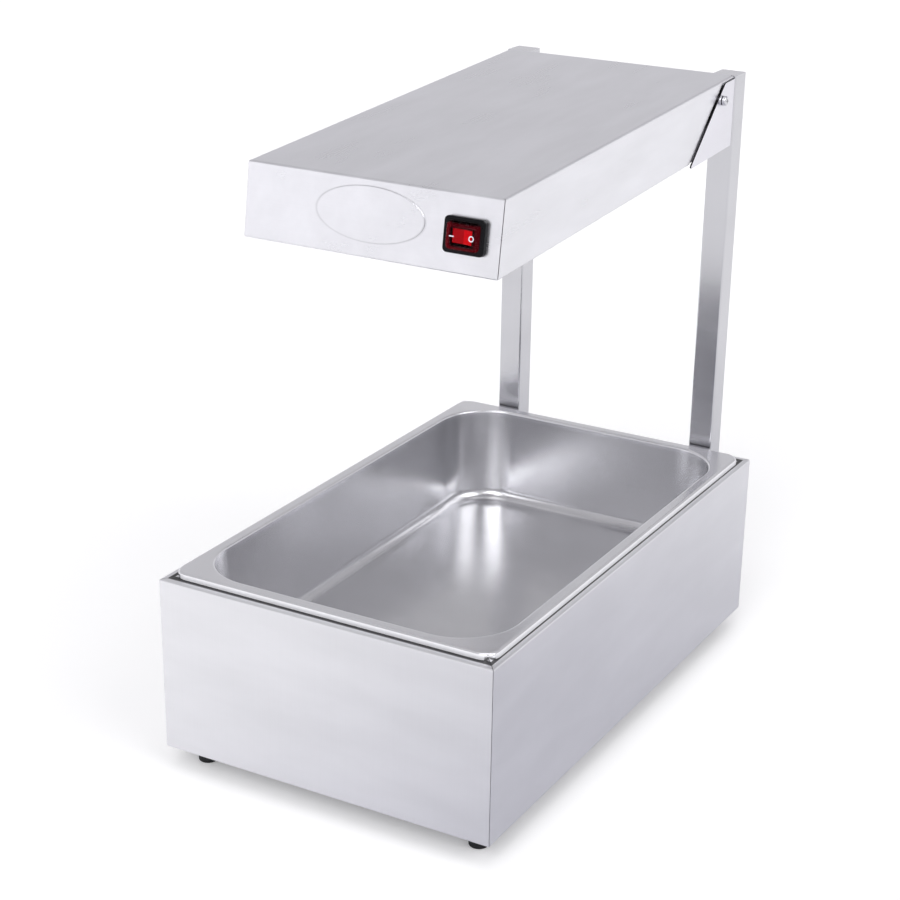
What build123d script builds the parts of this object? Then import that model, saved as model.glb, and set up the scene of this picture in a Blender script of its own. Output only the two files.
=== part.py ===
import os
from math import cos, hypot, radians, sin, tan

from build123d import *

# Chip warmer: a sheet-metal base that holds a food pan, with two posts behind it
# that carry a tilting heat-lamp hood. Millimetres, +Z up, the front faces -Y.
# The origin is on the floor, under the middle of the base.

# ------------------------------------------------------------------ food pan
pan_width = 325.0
pan_length = 530.0
pan_depth = 100.0
pan_sheet = 0.9
pan_rim = 12.0
pan_lip = 5.8
pan_seat_gap = 0.2
pan_draft = 4.0  # degrees
pan_well_corner = 55.0
pan_rim_corner = 15.0
pan_floor_round = 12.0
pan_lip_round = 3.0
pan_mouth_round = 2.6

# ------------------------------------------------------------------ base cabinet
base_side_margin = 6.5  # walls beyond the pan's rim
base_end_margin = 10.0
base_height = 169.0
base_sheet = 1.2
base_bend = 1.6  # outside radius of the folds
ledge_gap = 2.0  # between the pan's well and the walls' top flanges
bottom_flange = 12.0
corner_gap = 0.5  # open seam between two wall panels
panel_clearance = 0.8  # between the bottom panel and the walls
angle_leg = 20.0  # corner angles inside the four vertical seams
angle_end_gap = 1.0
vent_length = 60.0
vent_width = 5.0
vent_pitch = 14.0
vents_each_side = 4
screw_rows = 4  # the floor's screws stand at quarters of the walls

# ------------------------------------------------------------------ rubber feet
foot_height = 20.0  # from the floor to the underside of the walls
foot_diameter = 20.0
foot_base_diameter = 18.0
foot_edge_round = 1.5
foot_side_inset = 25.5
foot_end_inset = 29.0
foot_recess_depth = 9.0
foot_recess_diameter = 11.0

# ------------------------------------------------------------------ posts
post_width = 25.0
post_depth = 25.0
post_wall = 1.5
post_corner = 1.8
post_spread = 250.0  # over the outer faces of both posts
post_top = 575.0
post_cap = 1.5
post_lift = 10.0  # from the underside of the walls to the foot of a post
post_bolt_low = 30.0  # bolt heights above the underside of the walls
post_bolt_high = 130.0
plug_flange = 2.0
plug_depth = 14.0
plug_clearance = 0.3

# ------------------------------------------------------------------ hood
cheek_gap = 0.3  # between a cheek and its bracket
hood_length = 461.5  # along the top
hood_height = 64.0
hood_sheet = 1.2
hood_bend = 2.0
hood_tilt = 2.75  # degrees, front down
hood_post_gap = 0.66  # rear edge to the posts
hood_seam = 0.6  # open seam between fascia and cheek
hood_seam_top = 4.0  # from the top face down to the seam's end
hood_flange = 14.0  # inward flanges at the foot of the cheeks
fascia_flange = 14.0
fascia_lean = 11.5  # degrees, foot of the fascia forward
cheek_rake = 39.8  # degrees, slope of the rear edge of a cheek
cheek_foot_setback = 69.5  # lower end of that edge, ahead of the pivot
cheek_foot_round = 5.0
cheek_band = 2.5  # height of the cheek over the bracket
relief_hole = 1.6

# ------------------------------------------------------------------ hood pivot
pivot_drop = 18.1  # below the top of the posts
pivot_setback = 31.2  # ahead of the posts
pivot_depth = 17.25  # below the top face of the hood
pivot_gap = 0.1  # running gap beside a tab
pivot_clearance = 0.06  # radial, in the tab
tab_sheet = 1.5
tab_reach = 58.0
tab_nose = 12.5
tab_drop = 22.0

# ------------------------------------------------------------------ brackets on the posts
bracket_sheet = 1.5
bracket_step = 0.8  # bracket face to post face
bracket_bend = 2.0
bracket_slit = 2.37  # gap between cheek and bracket, square to the rake
bracket_drop = 3.1  # lower edge below the hood
bracket_top_gap = 2.75  # upper edge below the top face of the hood
bracket_nose_round = 6.0
bracket_foot_round = 1.5
bracket_tab = 18.0  # width of the flange on the post
bracket_tab_height = 48.0
bracket_screw_pitch = 30.0

# ------------------------------------------------------------------ lamp unit in the hood
reflector_sheet = 1.0
reflector_crown = 78.0  # half width of its flat top
reflector_mouth = 104.0  # half width of its mouth
reflector_rise = 45.5
reflector_bend = 2.0
front_bay = 52.0  # fascia foot to front bulkhead
rear_bay = 28.5  # rear panel foot to rear bulkhead
tray_sheet = 1.0
tray_side_gap = 1.0
rear_panel_setback = 5.0  # square to the rake
rear_panel_flange = 8.0
rear_panel_top_flange = 18.0
rear_panel_gap = 1.2  # beside the tabs
lamp_count = 2
lamp_pitch = 76.0
lamp_depth = 18.0  # below the reflector's crown
lamp_radius = 5.0
lamp_wall = 1.0
filament_radius = 1.6
lead_radius = 0.8
lamp_cap_radius = 7.5
lamp_cap_length = 14.0
lamp_clearance = 0.25
holder_width = 22.0
holder_height = 18.0
holder_length = 13.0
holder_wall = 3.0
guard_wires = 7
guard_span = 184.0
guard_wire = 1.25
guard_cross_wires = 7
guard_cross_wire = 1.0
guard_height = 5.0  # above the seat of the lamp unit
guard_end = 3.0  # through the bulkheads
guard_clearance = 0.25

# ------------------------------------------------------------------ switch
switch_offset = 90.6  # from the middle of the fascia
switch_drop = 33.4  # down the fascia
frame_width = 37.6
frame_height = 29.7
frame_depth = 5.0
frame_corner = 4.0
frame_round = 1.2
body_width = 30.0
body_height = 21.6
body_depth = 20.0
body_wall = 1.6
body_collar = 1.0
body_collar_reach = 1.6  # collar beyond the cut-out on each side
switch_fit = 0.3
boot_width = 29.4
boot_height = 23.2
boot_depth = 8.6
boot_wall = 0.9
boot_corner = 4.0
boot_round = 2.4
rocker_width = 21.0
rocker_height = 13.2
rocker_swing = 9.0  # degrees to each side of the middle
rocker_level = 3.0  # valley of the rocker in front of the fascia
rocker_root = 4.0  # from that valley down to the pivot
rocker_skirt = 3.5
rocker_round = 0.5
pin_radius = 1.5
blade_length = 8.0
blade_width = 6.3
blade_sheet = 0.8
blade_pitch = 14.0

# ------------------------------------------------------------------ oval boss on the fascia
oval_half_width = 52.0
oval_half_height = 23.0
oval_drop = 29.0
oval_rise = 0.8

# ------------------------------------------------------------------ cable entry and wiring
gland_bore = 4.5
gland_thread = 8.0
gland_collar = 12.0
gland_collar_depth = 5.0
gland_cap_radius = 10.5
gland_cap_depth = 13.0
gland_nut_depth = 4.0
gland_drop = 16.0  # below the pivot, where the gland passes the rear panel
block_width = 36.0
block_depth = 15.0
block_gap = 1.0  # behind the guard's wire ends
block_height = 15.0
block_screw_radius = 2.0
block_screw_gap = 0.3
block_ways = 3
wire_radius = 1.3
wire_bend = 4.0

# ------------------------------------------------------------------ fasteners
m6 = 6.0
m5 = 5.0
m4 = 4.0
bolt_clearance = 0.3  # radial, in a clearance hole
nut_clearance = 0.05  # radial, in place of a thread
thin_washer = 1.0
spring_washer = 1.2
screw_reach = 5.0
thread_tail = 2.0

# Proportions of heads and nuts, as shares of the thread's diameter.
hex_head_flat = 0.83  # from the axis to a flat
hex_head_depth = 0.66
nut_flat = 0.8
nut_depth = 0.8
lock_nut_depth = 0.9
pan_head_radius = 0.92
pan_head_depth = 0.55
pivot_head_depth = 0.7
recess_reach = 0.9
recess_width = 0.16
spring_washer_radius = 0.86
split_turn = 20.0  # degrees, slant of the cut in a spring washer

# ------------------------------------------------------------------ places worked out from the sizes
base_width = pan_width + 2 * base_side_margin
base_length = pan_length + 2 * base_end_margin
side_ledge = base_side_margin + pan_rim - pan_sheet - ledge_gap  # top flange of a side panel
end_ledge = base_end_margin + pan_rim - pan_sheet - ledge_gap  # top flange of an end panel
half_width = base_width / 2
half_length = base_length / 2
base_bottom = foot_height
base_top = base_bottom + base_height
floor_top = base_bottom + 2 * base_sheet  # upper face of the bottom panel
foot_x = half_width - foot_side_inset
foot_y = half_length - foot_end_inset

rim_top = base_top + pan_seat_gap + pan_lip

post_x = post_spread / 2 - post_width / 2
post_face = half_length  # the posts stand on the rear panel
post_y = post_face + post_depth / 2
post_foot = base_bottom + post_lift

# The hood is drawn in its own frame: the pivot at the origin, Y along the hood
# to the rear and Z square to its top face.
pivot_y = post_face - pivot_setback
pivot_z = post_top - pivot_drop
hood_place = Location((0, pivot_y, pivot_z), (hood_tilt, 0, 0))
bracket_face = post_spread / 2 - bracket_step
hood_half = bracket_face - bracket_sheet - cheek_gap
hood_top = pivot_depth
hood_bottom = hood_top - hood_height
tilt = radians(hood_tilt)
hood_rear = (pivot_setback - hood_post_gap) / cos(tilt) + hood_top * tan(tilt)
hood_front = hood_rear - hood_length
seat_z = hood_bottom + hood_sheet  # inside face of the hood's flanges
band_z = hood_top - cheek_band


def rake_y(z, offset=0.0):
    """Place along the hood of the cheek's raked edge, moved square to itself."""
    slope = radians(cheek_rake)
    return -cheek_foot_setback + (z - hood_bottom) / tan(slope) + offset / sin(slope)


def fascia_y(z, offset=0.0):
    """Place along the hood of the fascia's outer face, moved square to itself."""
    lean = radians(fascia_lean)
    return hood_front - (hood_top - z) * tan(lean) + offset / cos(lean)


front_bulkhead = fascia_y(hood_bottom) + front_bay
rear_foot = rake_y(seat_z, -rear_panel_setback)
rear_bulkhead = rear_foot - rear_bay
crown_z = seat_z + reflector_rise
lamp_z = crown_z - lamp_depth
guard_z = seat_z + guard_height
tab_face = hood_half - hood_sheet  # inside face of a cheek
flange_x = hood_half - hood_flange / 2


def down_fascia(drop, x=0.0):
    """Frame on the fascia: X to the right, Y up the fascia, Z outwards."""
    lean = radians(fascia_lean)
    origin = (x, hood_front - drop * sin(lean), hood_top - drop * cos(lean))
    return Plane(origin=origin, x_dir=(1, 0, 0), z_dir=(0, -cos(lean), sin(lean)))


switch_place = down_fascia(switch_drop, switch_offset)


# ------------------------------------------------------------------ helpers
def section(points, radius, thickness, side=Side.RIGHT):
    """Cross-section of a folded sheet whose outer face follows the points."""
    path = FilletPolyline(*points, radius=radius)
    return make_face(offset(path, amount=thickness, side=side).edges())


def cylinder(radius, start, end):
    """A round bar from one point to another."""
    start, end = Vector(*start), Vector(*end)
    run = end - start
    return extrude(Plane(origin=start, z_dir=run) * Circle(radius), run.length)


def ring(outer, inner, length, start, direction):
    """A tube of the given length that starts at a point and runs in a direction."""
    face = Circle(outer) - Circle(inner)
    return extrude(Plane(origin=start, z_dir=direction) * face, length)


def box(low, high):
    """An upright block between two corners."""
    size = [b - a for a, b in zip(low, high)]
    centre = [(a + b) / 2 for a, b in zip(low, high)]
    return Pos(*centre) * Box(*size)


def hex_bolt(size, shank, start, direction):
    """Hex-head bolt: its seat is at start, and its shank runs in the direction."""
    place = Plane(origin=start, z_dir=direction)
    hexagon = RegularPolygon(hex_head_flat * size, 6, major_radius=False)
    head = extrude(place * hexagon, -hex_head_depth * size)
    return head + extrude(place * Circle(size / 2), shank)


def pan_screw(size, shank, start, direction, depth=pan_head_depth):
    """Domed screw with a cross recess."""
    place = Plane(origin=start, z_dir=direction)
    high = depth * size
    head = extrude(place * Circle(pan_head_radius * size), -high)
    rim = head.edges().filter_by(GeomType.CIRCLE).sort_by_distance(Vector(*start) - place.z_dir * high)[0]
    head = fillet(rim, high / 2)
    long, thin = recess_reach * size, recess_width * size
    cross = Rectangle(long, thin) + Rectangle(thin, long)
    head -= place.offset(-high) * extrude(cross, high / 2)
    return head + extrude(place * Circle(size / 2), shank)


def hex_nut(size, start, direction, depth=nut_depth):
    """Hexagon nut with its seat at start."""
    place = Plane(origin=start, z_dir=direction)
    face = RegularPolygon(nut_flat * size, 6, major_radius=False) - Circle(size / 2 + nut_clearance)
    return extrude(place * face, depth * size)


def washer(size, thickness, start, direction):
    """Plain washer with its seat at start."""
    return ring(size, size / 2 + bolt_clearance, thickness, start, direction)


def both_sides(shape):
    """The shape and its mirror image in the middle plane."""
    return [shape, mirror(shape, about=Plane.YZ)]


def drill(shape, cutters):
    """The shape with a list of cutters taken out."""
    for cutter in cutters:
        shape -= cutter
    return shape


def save(name, *shapes, place=None):
    """Write one named sub-part, with all its solids, as a STEP file."""
    solids = [solid for shape in shapes for solid in shape.solids()]
    if place is not None:
        solids = [place * solid for solid in solids]
    whole = Compound(solids) if len(solids) > 1 else solids[0]
    export_step(whole, f"parts/{name}.step")


# ------------------------------------------------------------------ base cabinet
foot_spots = [(sx * foot_x, sy * foot_y) for sx in (-1, 1) for sy in (-1, 1)]
flange_middle = (bottom_flange + base_sheet) / 2
screw_x, screw_y = half_width - flange_middle, half_length - flange_middle
floor_screw_spots = [(sx * screw_x, step * base_length / screw_rows) for sx in (-1, 1) for step in (-1, 0, 1)]
floor_screw_spots += [(step * base_width / screw_rows, sy * screw_y) for sy in (-1, 1) for step in (-1, 1)]
post_bolt_spots = [(sx * post_x, base_bottom + z) for sx in (-1, 1) for z in (post_bolt_low, post_bolt_high)]


def upright_holes(spots, radius):
    """Vertical cutters through the bottom of the base."""
    return [cylinder(radius, (x, y, 0), (x, y, floor_top + 1)) for x, y in spots]


def wall_panel(span, reach, ledge, next_ledge):
    """One wall of the base, drawn as the front one, with mitred ends."""
    outline = [
        (bottom_flange - reach, base_bottom),
        (-reach, base_bottom),
        (-reach, base_top),
        (ledge - reach, base_top),
    ]
    wall = extrude(Plane.YZ * section(outline, base_bend, base_sheet), span / 2, both=True)
    run = next_ledge / ledge
    half = span / 2 - corner_gap / 2 * hypot(ledge, next_ledge) / ledge
    deep = max(ledge, bottom_flange)
    plan = Polygon(
        (-half, -reach),
        (half, -reach),
        (half - run * deep, deep - reach),
        (run * deep - half, deep - reach),
        align=None,
    )
    return wall & extrude(plan, base_top + 1)


def base_panels():
    """The four walls, by name."""
    end = wall_panel(base_width, half_length, end_ledge, side_ledge)
    side = wall_panel(base_length, half_width, side_ledge, end_ledge)
    holes = upright_holes(floor_screw_spots, m4 / 2 + bolt_clearance)
    back = [
        cylinder(m6 / 2 + bolt_clearance, (x, half_length - end_ledge, z), (x, half_length + 1, z))
        for x, z in post_bolt_spots
    ]
    return {
        "base_front_panel": drill(end, holes),
        "base_rear_panel": drill(Rot(0, 0, 180) * end, holes + back),
        "base_right_panel": drill(Rot(0, 0, 90) * side, holes),
        "base_left_panel": drill(Rot(0, 0, -90) * side, holes),
    }


def base_bottom_panel():
    """Flat floor that lies on the walls' lower flanges."""
    inset = base_sheet + panel_clearance
    low = (inset - half_width, inset - half_length, base_bottom + base_sheet)
    high = (half_width - inset, half_length - inset, floor_top)
    floor = box(low, high)
    spots = upright_holes(foot_spots, m5 / 2 + bolt_clearance) + upright_holes(floor_screw_spots, m4 / 2)
    slot = extrude(SlotOverall(vent_length, vent_width), base_height)
    for side in (-1, 1):
        for step in range(vents_each_side):
            y = side * (base_length / 4 + (step - (vents_each_side - 1) / 2) * vent_pitch)
            spots.append(Pos(0, y, 0) * slot)
    return drill(floor, spots)


def corner_angle():
    """Folded angle behind the front right seam."""
    x = half_width - base_sheet
    y = base_sheet - half_length
    outline = [(x - angle_leg, y), (x, y), (x, y + angle_leg)]
    face = section(outline, base_bend, base_sheet, Side.LEFT)
    low = floor_top + angle_end_gap
    high = base_top - base_sheet - angle_end_gap
    return extrude(Pos(0, 0, low) * face, high - low)


def rubber_foot(x, y):
    """Tapered rubber foot, open below for its screw."""
    top = base_bottom + base_sheet
    body = loft([Pos(x, y, 0) * Circle(foot_base_diameter / 2), Pos(x, y, top) * Circle(foot_diameter / 2)])
    body = fillet(body.edges().sort_by(Axis.Z)[0], foot_edge_round)
    body -= cylinder(foot_recess_diameter / 2, (x, y, 0), (x, y, foot_recess_depth))
    return body - cylinder(m5 / 2 + bolt_clearance, (x, y, 0), (x, y, top))


def save_base():
    """The cabinet, its floor, feet and fasteners."""
    for name, panel in base_panels().items():
        save(name, panel)
    save("base_bottom_panel", base_bottom_panel())
    angle = corner_angle()
    front_pair = both_sides(angle)
    save("base_corner_angles", *front_pair, *[mirror(a, about=Plane.XZ) for a in front_pair])
    save("rubber_feet", *[rubber_foot(x, y) for x, y in foot_spots])
    up, down = (0, 0, 1), (0, 0, -1)
    shank = floor_top - foot_recess_depth + thin_washer + nut_depth * m5 + thread_tail
    save("foot_screws", *[pan_screw(m5, shank, (x, y, foot_recess_depth), up) for x, y in foot_spots])
    save("foot_washers", *[washer(m5, thin_washer, (x, y, floor_top), up) for x, y in foot_spots])
    save("foot_nuts", *[hex_nut(m5, (x, y, floor_top + thin_washer), up) for x, y in foot_spots])
    self_tapping = m4 - 2 * nut_clearance
    screws = [pan_screw(self_tapping, screw_reach, (x, y, base_bottom), up) for x, y in floor_screw_spots]
    save("bottom_panel_screws", *screws)


# ------------------------------------------------------------------ food pan
def food_pan():
    """Deep-drawn pan with a wide rim and a turned-down lip."""
    well_width, well_length = pan_width - 2 * pan_rim, pan_length - 2 * pan_rim

    def mouth_edges(shape, height):
        """Edges round the mouth of the well at a height, inside the lip."""
        reach_x, reach_y = (well_width + pan_rim) / 2, (well_length + pan_rim) / 2
        level = shape.edges().filter_by(lambda e: abs(e.center().Z - height) < pan_sheet / 10)
        return level.filter_by(lambda e: abs(e.center().X) < reach_x and abs(e.center().Y) < reach_y)

    def well(grow, depth):
        face = RectangleRounded(well_width + 2 * grow, well_length + 2 * grow, pan_well_corner + grow)
        start = Plane(origin=(0, 0, rim_top), x_dir=(1, 0, 0), z_dir=(0, 0, -1))
        block = extrude(start * face, depth, taper=pan_draft)
        low_edges = block.edges().group_by(Axis.Z)[0]
        return fillet(low_edges, pan_floor_round + grow)

    def rim_block(inset, low, high):
        face = RectangleRounded(pan_width - 2 * inset, pan_length - 2 * inset, pan_rim_corner - inset)
        block = extrude(Pos(0, 0, low) * face, high - low)
        return fillet(block.edges().group_by(Axis.Z)[-1], pan_lip_round - inset)

    outside = well(pan_sheet, pan_depth)
    lip_low = rim_top - pan_lip
    hollow = rim_block(pan_sheet, lip_low - 1, rim_top - pan_sheet)
    skirt = rim_block(0, lip_low, rim_top) - hollow
    pan = skirt + outside
    pan = fillet(mouth_edges(pan, rim_top - pan_sheet), pan_mouth_round - pan_sheet)
    pan -= well(0, pan_depth - pan_sheet)
    return fillet(mouth_edges(pan, rim_top), pan_mouth_round)


# ------------------------------------------------------------------ posts
def post():
    """Right-hand post: a box section, drilled for its bolts and bracket screws."""
    outer = RectangleRounded(post_width, post_depth, post_corner)
    inner = RectangleRounded(post_width - 2 * post_wall, post_depth - 2 * post_wall, post_corner - post_wall)
    tube = extrude(Pos(post_x, post_y, post_foot) * (outer - inner), post_top - post_cap - post_foot)
    holes = [
        cylinder(m6 / 2 + bolt_clearance, (x, post_face - 1, z), (x, post_face + post_depth + 1, z))
        for x, z in post_bolt_spots
        if x > 0
    ]
    holes += [
        cylinder(m5 / 2 + nut_clearance, (x, post_face - 1, z), (x, post_face + post_wall + 1, z))
        for x, z in bracket_screw_spots
    ]
    return drill(tube, holes)


def post_cap_plate():
    """Flat cap on the top of the right-hand post."""
    face = RectangleRounded(post_width, post_depth, post_corner)
    return extrude(Pos(post_x, post_y, post_top - post_cap) * face, post_cap)


def post_plug():
    """Push-in plug in the foot of the right-hand post."""
    head = RectangleRounded(post_width, post_depth, post_corner)
    bore_x = post_width - 2 * (post_wall + plug_clearance)
    bore_y = post_depth - 2 * (post_wall + plug_clearance)
    stem = Rectangle(bore_x, bore_y) - Rectangle(bore_x - 2 * post_wall, bore_y - 2 * post_wall)
    plug = extrude(Pos(post_x, post_y, post_foot - plug_flange) * head, plug_flange)
    return plug + extrude(Pos(post_x, post_y, post_foot) * stem, plug_depth)


def save_posts():
    """Posts, caps, plugs and the bolts that hold them to the base."""
    right, left = both_sides(post())
    save("right_post", right)
    save("left_post", left)
    save("post_top_caps", *both_sides(post_cap_plate()))
    save("post_bottom_plugs", *both_sides(post_plug()))
    forward, back = (0, -1, 0), (0, 1, 0)
    rear = post_face + post_depth
    inside = half_length - base_sheet
    shank = rear - inside + 2 * thin_washer + nut_depth * m6 + thread_tail
    bolts = [hex_bolt(m6, shank, (x, rear + thin_washer, z), forward) for x, z in post_bolt_spots]
    washers = [washer(m6, thin_washer, (x, rear, z), back) for x, z in post_bolt_spots]
    washers += [washer(m6, thin_washer, (x, inside, z), forward) for x, z in post_bolt_spots]
    nuts = [hex_nut(m6, (x, inside - thin_washer, z), forward) for x, z in post_bolt_spots]
    save("post_bolts", *bolts)
    save("post_washers", *washers)
    save("post_nuts", *nuts)


# ------------------------------------------------------------------ brackets and pivots
bracket_flange_middle = pivot_z + (hood_top + hood_bottom - bracket_drop) / 2
bracket_screw_spots = [
    (post_x, bracket_flange_middle - bracket_screw_pitch / 2),
    (post_x, bracket_flange_middle + bracket_screw_pitch / 2),
]


def bracket():
    """Right-hand bracket: a raked cheek plate folded onto the face of the post."""
    inner = bracket_face - bracket_tab
    long = cheek_foot_setback + pivot_setback
    plan = [(inner, post_face), (bracket_face, post_face), (bracket_face, post_face - long)]
    blank = extrude(section(plan, bracket_bend, bracket_sheet), post_top)
    low = hood_bottom - bracket_drop
    high = hood_top - bracket_top_gap
    far = 2 * pivot_setback
    outline = Polygon(
        (rake_y(low, bracket_slit), low),
        (rake_y(high, bracket_slit), high),
        (far, high),
        (far, low),
        align=None,
    )
    nose = outline.vertices().sort_by_distance(Vector(rake_y(high, bracket_slit), high))[0]
    outline = fillet(nose, bracket_nose_round)
    foot = outline.vertices().sort_by_distance(Vector(rake_y(low, bracket_slit), low))[0]
    outline = fillet(foot, bracket_foot_round)
    cheek = hood_place * extrude(Plane.YZ * outline, 2 * post_spread, both=True)
    plate = blank & cheek
    keep = bracket_tab_height / 2
    trim_x = bracket_face - bracket_sheet
    for low_z, high_z in ((0, bracket_flange_middle - keep), (bracket_flange_middle + keep, 2 * post_top)):
        plate -= box((0, post_face - bracket_bend, low_z), (trim_x, post_face + 1, high_z))
    holes = [
        cylinder(m5 / 2 + bolt_clearance, (x, post_face - 2 * bracket_bend, z), (x, post_face + 1, z))
        for x, z in bracket_screw_spots
    ]
    holes.append(cylinder(m5 / 2 + bolt_clearance, (0, pivot_y, pivot_z), (post_spread, pivot_y, pivot_z)))
    return drill(plate, holes)


def pivot_tab():
    """Right-hand tab inside the hood's cheek, round at the pivot."""
    high = hood_top - hood_bend - tab_sheet
    plate = Polygon(
        (-tab_reach, -tab_drop),
        (-tab_drop, -tab_drop),
        (0, -tab_nose),
        (tab_nose, 0),
        (0, high),
        (-tab_reach, high),
        align=None,
    )
    plate += Circle(tab_nose)
    solid = extrude(Plane.YZ.offset(tab_face - tab_sheet) * plate, tab_sheet)
    return solid - cylinder(m5 / 2 + pivot_clearance, (0, 0, 0), (hood_half, 0, 0))


def save_brackets():
    """Brackets, their screws and the two hood pivots."""
    right, left = both_sides(bracket())
    save("right_bracket", right)
    save("left_bracket", left)
    seat = post_face - bracket_sheet
    reach = bracket_sheet + post_wall + screw_reach
    screws = [pan_screw(m5, reach, (x, seat, z), (0, 1, 0)) for x, z in bracket_screw_spots]
    save("bracket_screws", *[s for screw in screws for s in both_sides(screw)])

    save_pivots()


def save_pivots():
    """The two bolts that the hood tilts on, from the head in to the nut."""
    outward, inward = (1, 0, 0), (-1, 0, 0)
    spring_seat = bracket_face + thin_washer
    head_seat = spring_seat + spring_washer
    inner_seat = tab_face - tab_sheet - pivot_gap
    nut_seat = inner_seat - thin_washer
    bore = m5 / 2 + bolt_clearance

    def axis(x):
        """The point of the hinge line at x."""
        return x, pivot_y, pivot_z

    bolt = pan_screw(m5, head_seat - nut_seat + lock_nut_depth * m5 + thread_tail, axis(head_seat), inward,
                     depth=pivot_head_depth)
    spacer_run = bracket_face - bracket_sheet - tab_face - pivot_gap
    spacer = ring(m5, bore, spacer_run, axis(tab_face + pivot_gap), outward)
    split = Pos(*axis(spring_seat)) * Pos(0, 0, m5) * Rot(0, 0, split_turn)
    split *= Box(4 * spring_washer, spring_washer, 2 * m5)
    spring = ring(spring_washer_radius * m5, bore, spring_washer, axis(spring_seat), outward) - split
    save("pivot_bolts", *both_sides(bolt))
    save("pivot_spring_washers", *both_sides(spring))
    plain = both_sides(washer(m5, thin_washer, axis(bracket_face), outward))
    plain += both_sides(washer(m5, thin_washer, axis(inner_seat), inward))
    save("pivot_washers", *plain)
    save("pivot_spacers", *both_sides(spacer))
    save("pivot_lock_nuts", *both_sides(hex_nut(m5, axis(nut_seat), inward, depth=lock_nut_depth)))


# ------------------------------------------------------------------ hood shell
unit_screw_rows = [
    front_bulkhead - front_bay / 2,
    front_bulkhead + (rear_bulkhead - front_bulkhead) / 8,
    (front_bulkhead + rear_bulkhead) / 2,
    rear_bulkhead - (rear_bulkhead - front_bulkhead) / 8,
    rear_bulkhead + (rear_bay - rear_panel_flange) / 2,
    rear_foot - rear_panel_flange / 2,
]
unit_screw_spots = [(sx * flange_x, y) for sx in (-1, 1) for y in unit_screw_rows]


def flange_holes(radius):
    """Cutters for the screws in the hood's lower flanges."""
    low, high = hood_bottom - 1, seat_z + screw_reach
    return [cylinder(radius, (x, y, low), (x, y, high)) for x, y in unit_screw_spots]


def hood_block(inset, rear):
    """Solid hood with rounded folds, smaller by the inset, up to a square rear end."""
    top, low = hood_top - inset, hood_bottom + inset
    half = hood_half - inset
    front_top, front_low = fascia_y(top, inset), fascia_y(low, inset)
    outline = Polygon((front_top, top), (rear, top), (rear, low), (front_low, low), align=None)
    block = extrude(Plane.YZ * outline, half, both=True)
    folds = [(0, fascia_y(z, inset), z) for z in (top, low)]
    folds += [(sx * half, hood_front / 2, z) for sx in (-1, 1) for z in (top, low)]
    edges = [block.edges().sort_by_distance(Vector(*fold))[0] for fold in folds]
    return fillet(edges, hood_bend - inset)


def cheek_outline():
    """Side view of the hood, with the raked rear edge and the band above it."""
    front = hood_front - hood_height
    outline = Polygon(
        (front, hood_bottom),
        (rake_y(hood_bottom), hood_bottom),
        (rake_y(band_z), band_z),
        (hood_rear, band_z),
        (hood_rear, hood_top),
        (front, hood_top),
        align=None,
    )
    foot = outline.vertices().sort_by_distance(Vector(rake_y(hood_bottom), hood_bottom))[0]
    return fillet(foot, cheek_foot_round)


def corner_slit(side):
    """Thin cutter along the seam between the fascia and one cheek."""
    lean = radians(fascia_lean)
    length = hood_height + 2 * hood_bend - hood_seam_top
    middle = hood_seam_top + length / 2
    origin = Vector(side * hood_half, hood_front - middle * sin(lean), hood_top - middle * cos(lean))
    outwards = Vector(0, -cos(lean), sin(lean))
    sideways = Vector(side, 0, 0)
    place = Plane(origin=origin, x_dir=sideways + outwards, z_dir=sideways - outwards)
    seam = place * Box(8 * hood_sheet, length, hood_seam)
    foot = place * Pos(0, -length / 2, 0) * Box(3 * hood_flange, 4 * hood_bend, hood_seam)
    return seam + foot


def hood_shell():
    """Top, fascia and cheeks folded from one sheet, with inward lower flanges."""
    shell = hood_block(0, hood_rear) - hood_block(hood_sheet, hood_rear + hood_bend)
    shell &= extrude(Plane.YZ * cheek_outline(), 2 * hood_half, both=True)
    opening = hood_half - hood_flange
    front = fascia_y(hood_bottom) + fascia_flange
    shell -= box((-opening, front, hood_bottom - 1), (opening, hood_rear, seat_z + 1))
    oval = down_fascia(oval_drop)
    boss = extrude(oval * Ellipse(oval_half_width, oval_half_height), oval_rise)
    boss = fillet(boss.edges().sort_by_distance(oval.origin + oval.z_dir * 10)[0], oval_rise / 2)
    hollow = Ellipse(oval_half_width - oval_rise, oval_half_height - oval_rise)
    dish = extrude(oval.offset(-hood_sheet) * hollow, oval_rise)
    shell = shell + boss - dish
    cut_width = body_width + 2 * switch_fit
    cut_height = body_height + 2 * switch_fit
    cutters = [switch_place * Box(cut_width, cut_height, 4 * hood_sheet)]
    cutters += [corner_slit(side) for side in (-1, 1)]
    cutters += flange_holes(m4 / 2 + bolt_clearance)
    for side in (-1, 1):
        x, y = side * (hood_half - relief_hole), hood_rear - relief_hole
        cutters.append(cylinder(relief_hole / 2, (x, y, band_z), (x, y, hood_top + 1)))
    return drill(shell, cutters)


def hood_rear_panel():
    """Raked rear wall of the hood's inside, with the hole for the gland."""
    top = hood_top - hood_sheet
    upper = rake_y(top, -rear_panel_setback)
    outline = [
        (upper - rear_panel_top_flange, top),
        (upper, top),
        (rear_foot, seat_z),
        (rear_foot - rear_panel_flange, seat_z),
    ]
    half = tab_face - tab_sheet - rear_panel_gap
    panel = extrude(Plane.YZ * section(outline, hood_bend, tray_sheet), half, both=True)
    hole = gland_place() * Cylinder(gland_thread + bolt_clearance, 8 * tray_sheet)
    return drill(panel, [hole] + flange_holes(m4 / 2))


def gland_place():
    """Frame on the rear panel's outer face, Z pointing out of the hood."""
    slope = radians(cheek_rake)
    y = rake_y(-gland_drop, -rear_panel_setback)
    return Plane(origin=(0, y, -gland_drop), x_dir=(1, 0, 0), z_dir=(0, sin(slope), -cos(slope)))


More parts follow.
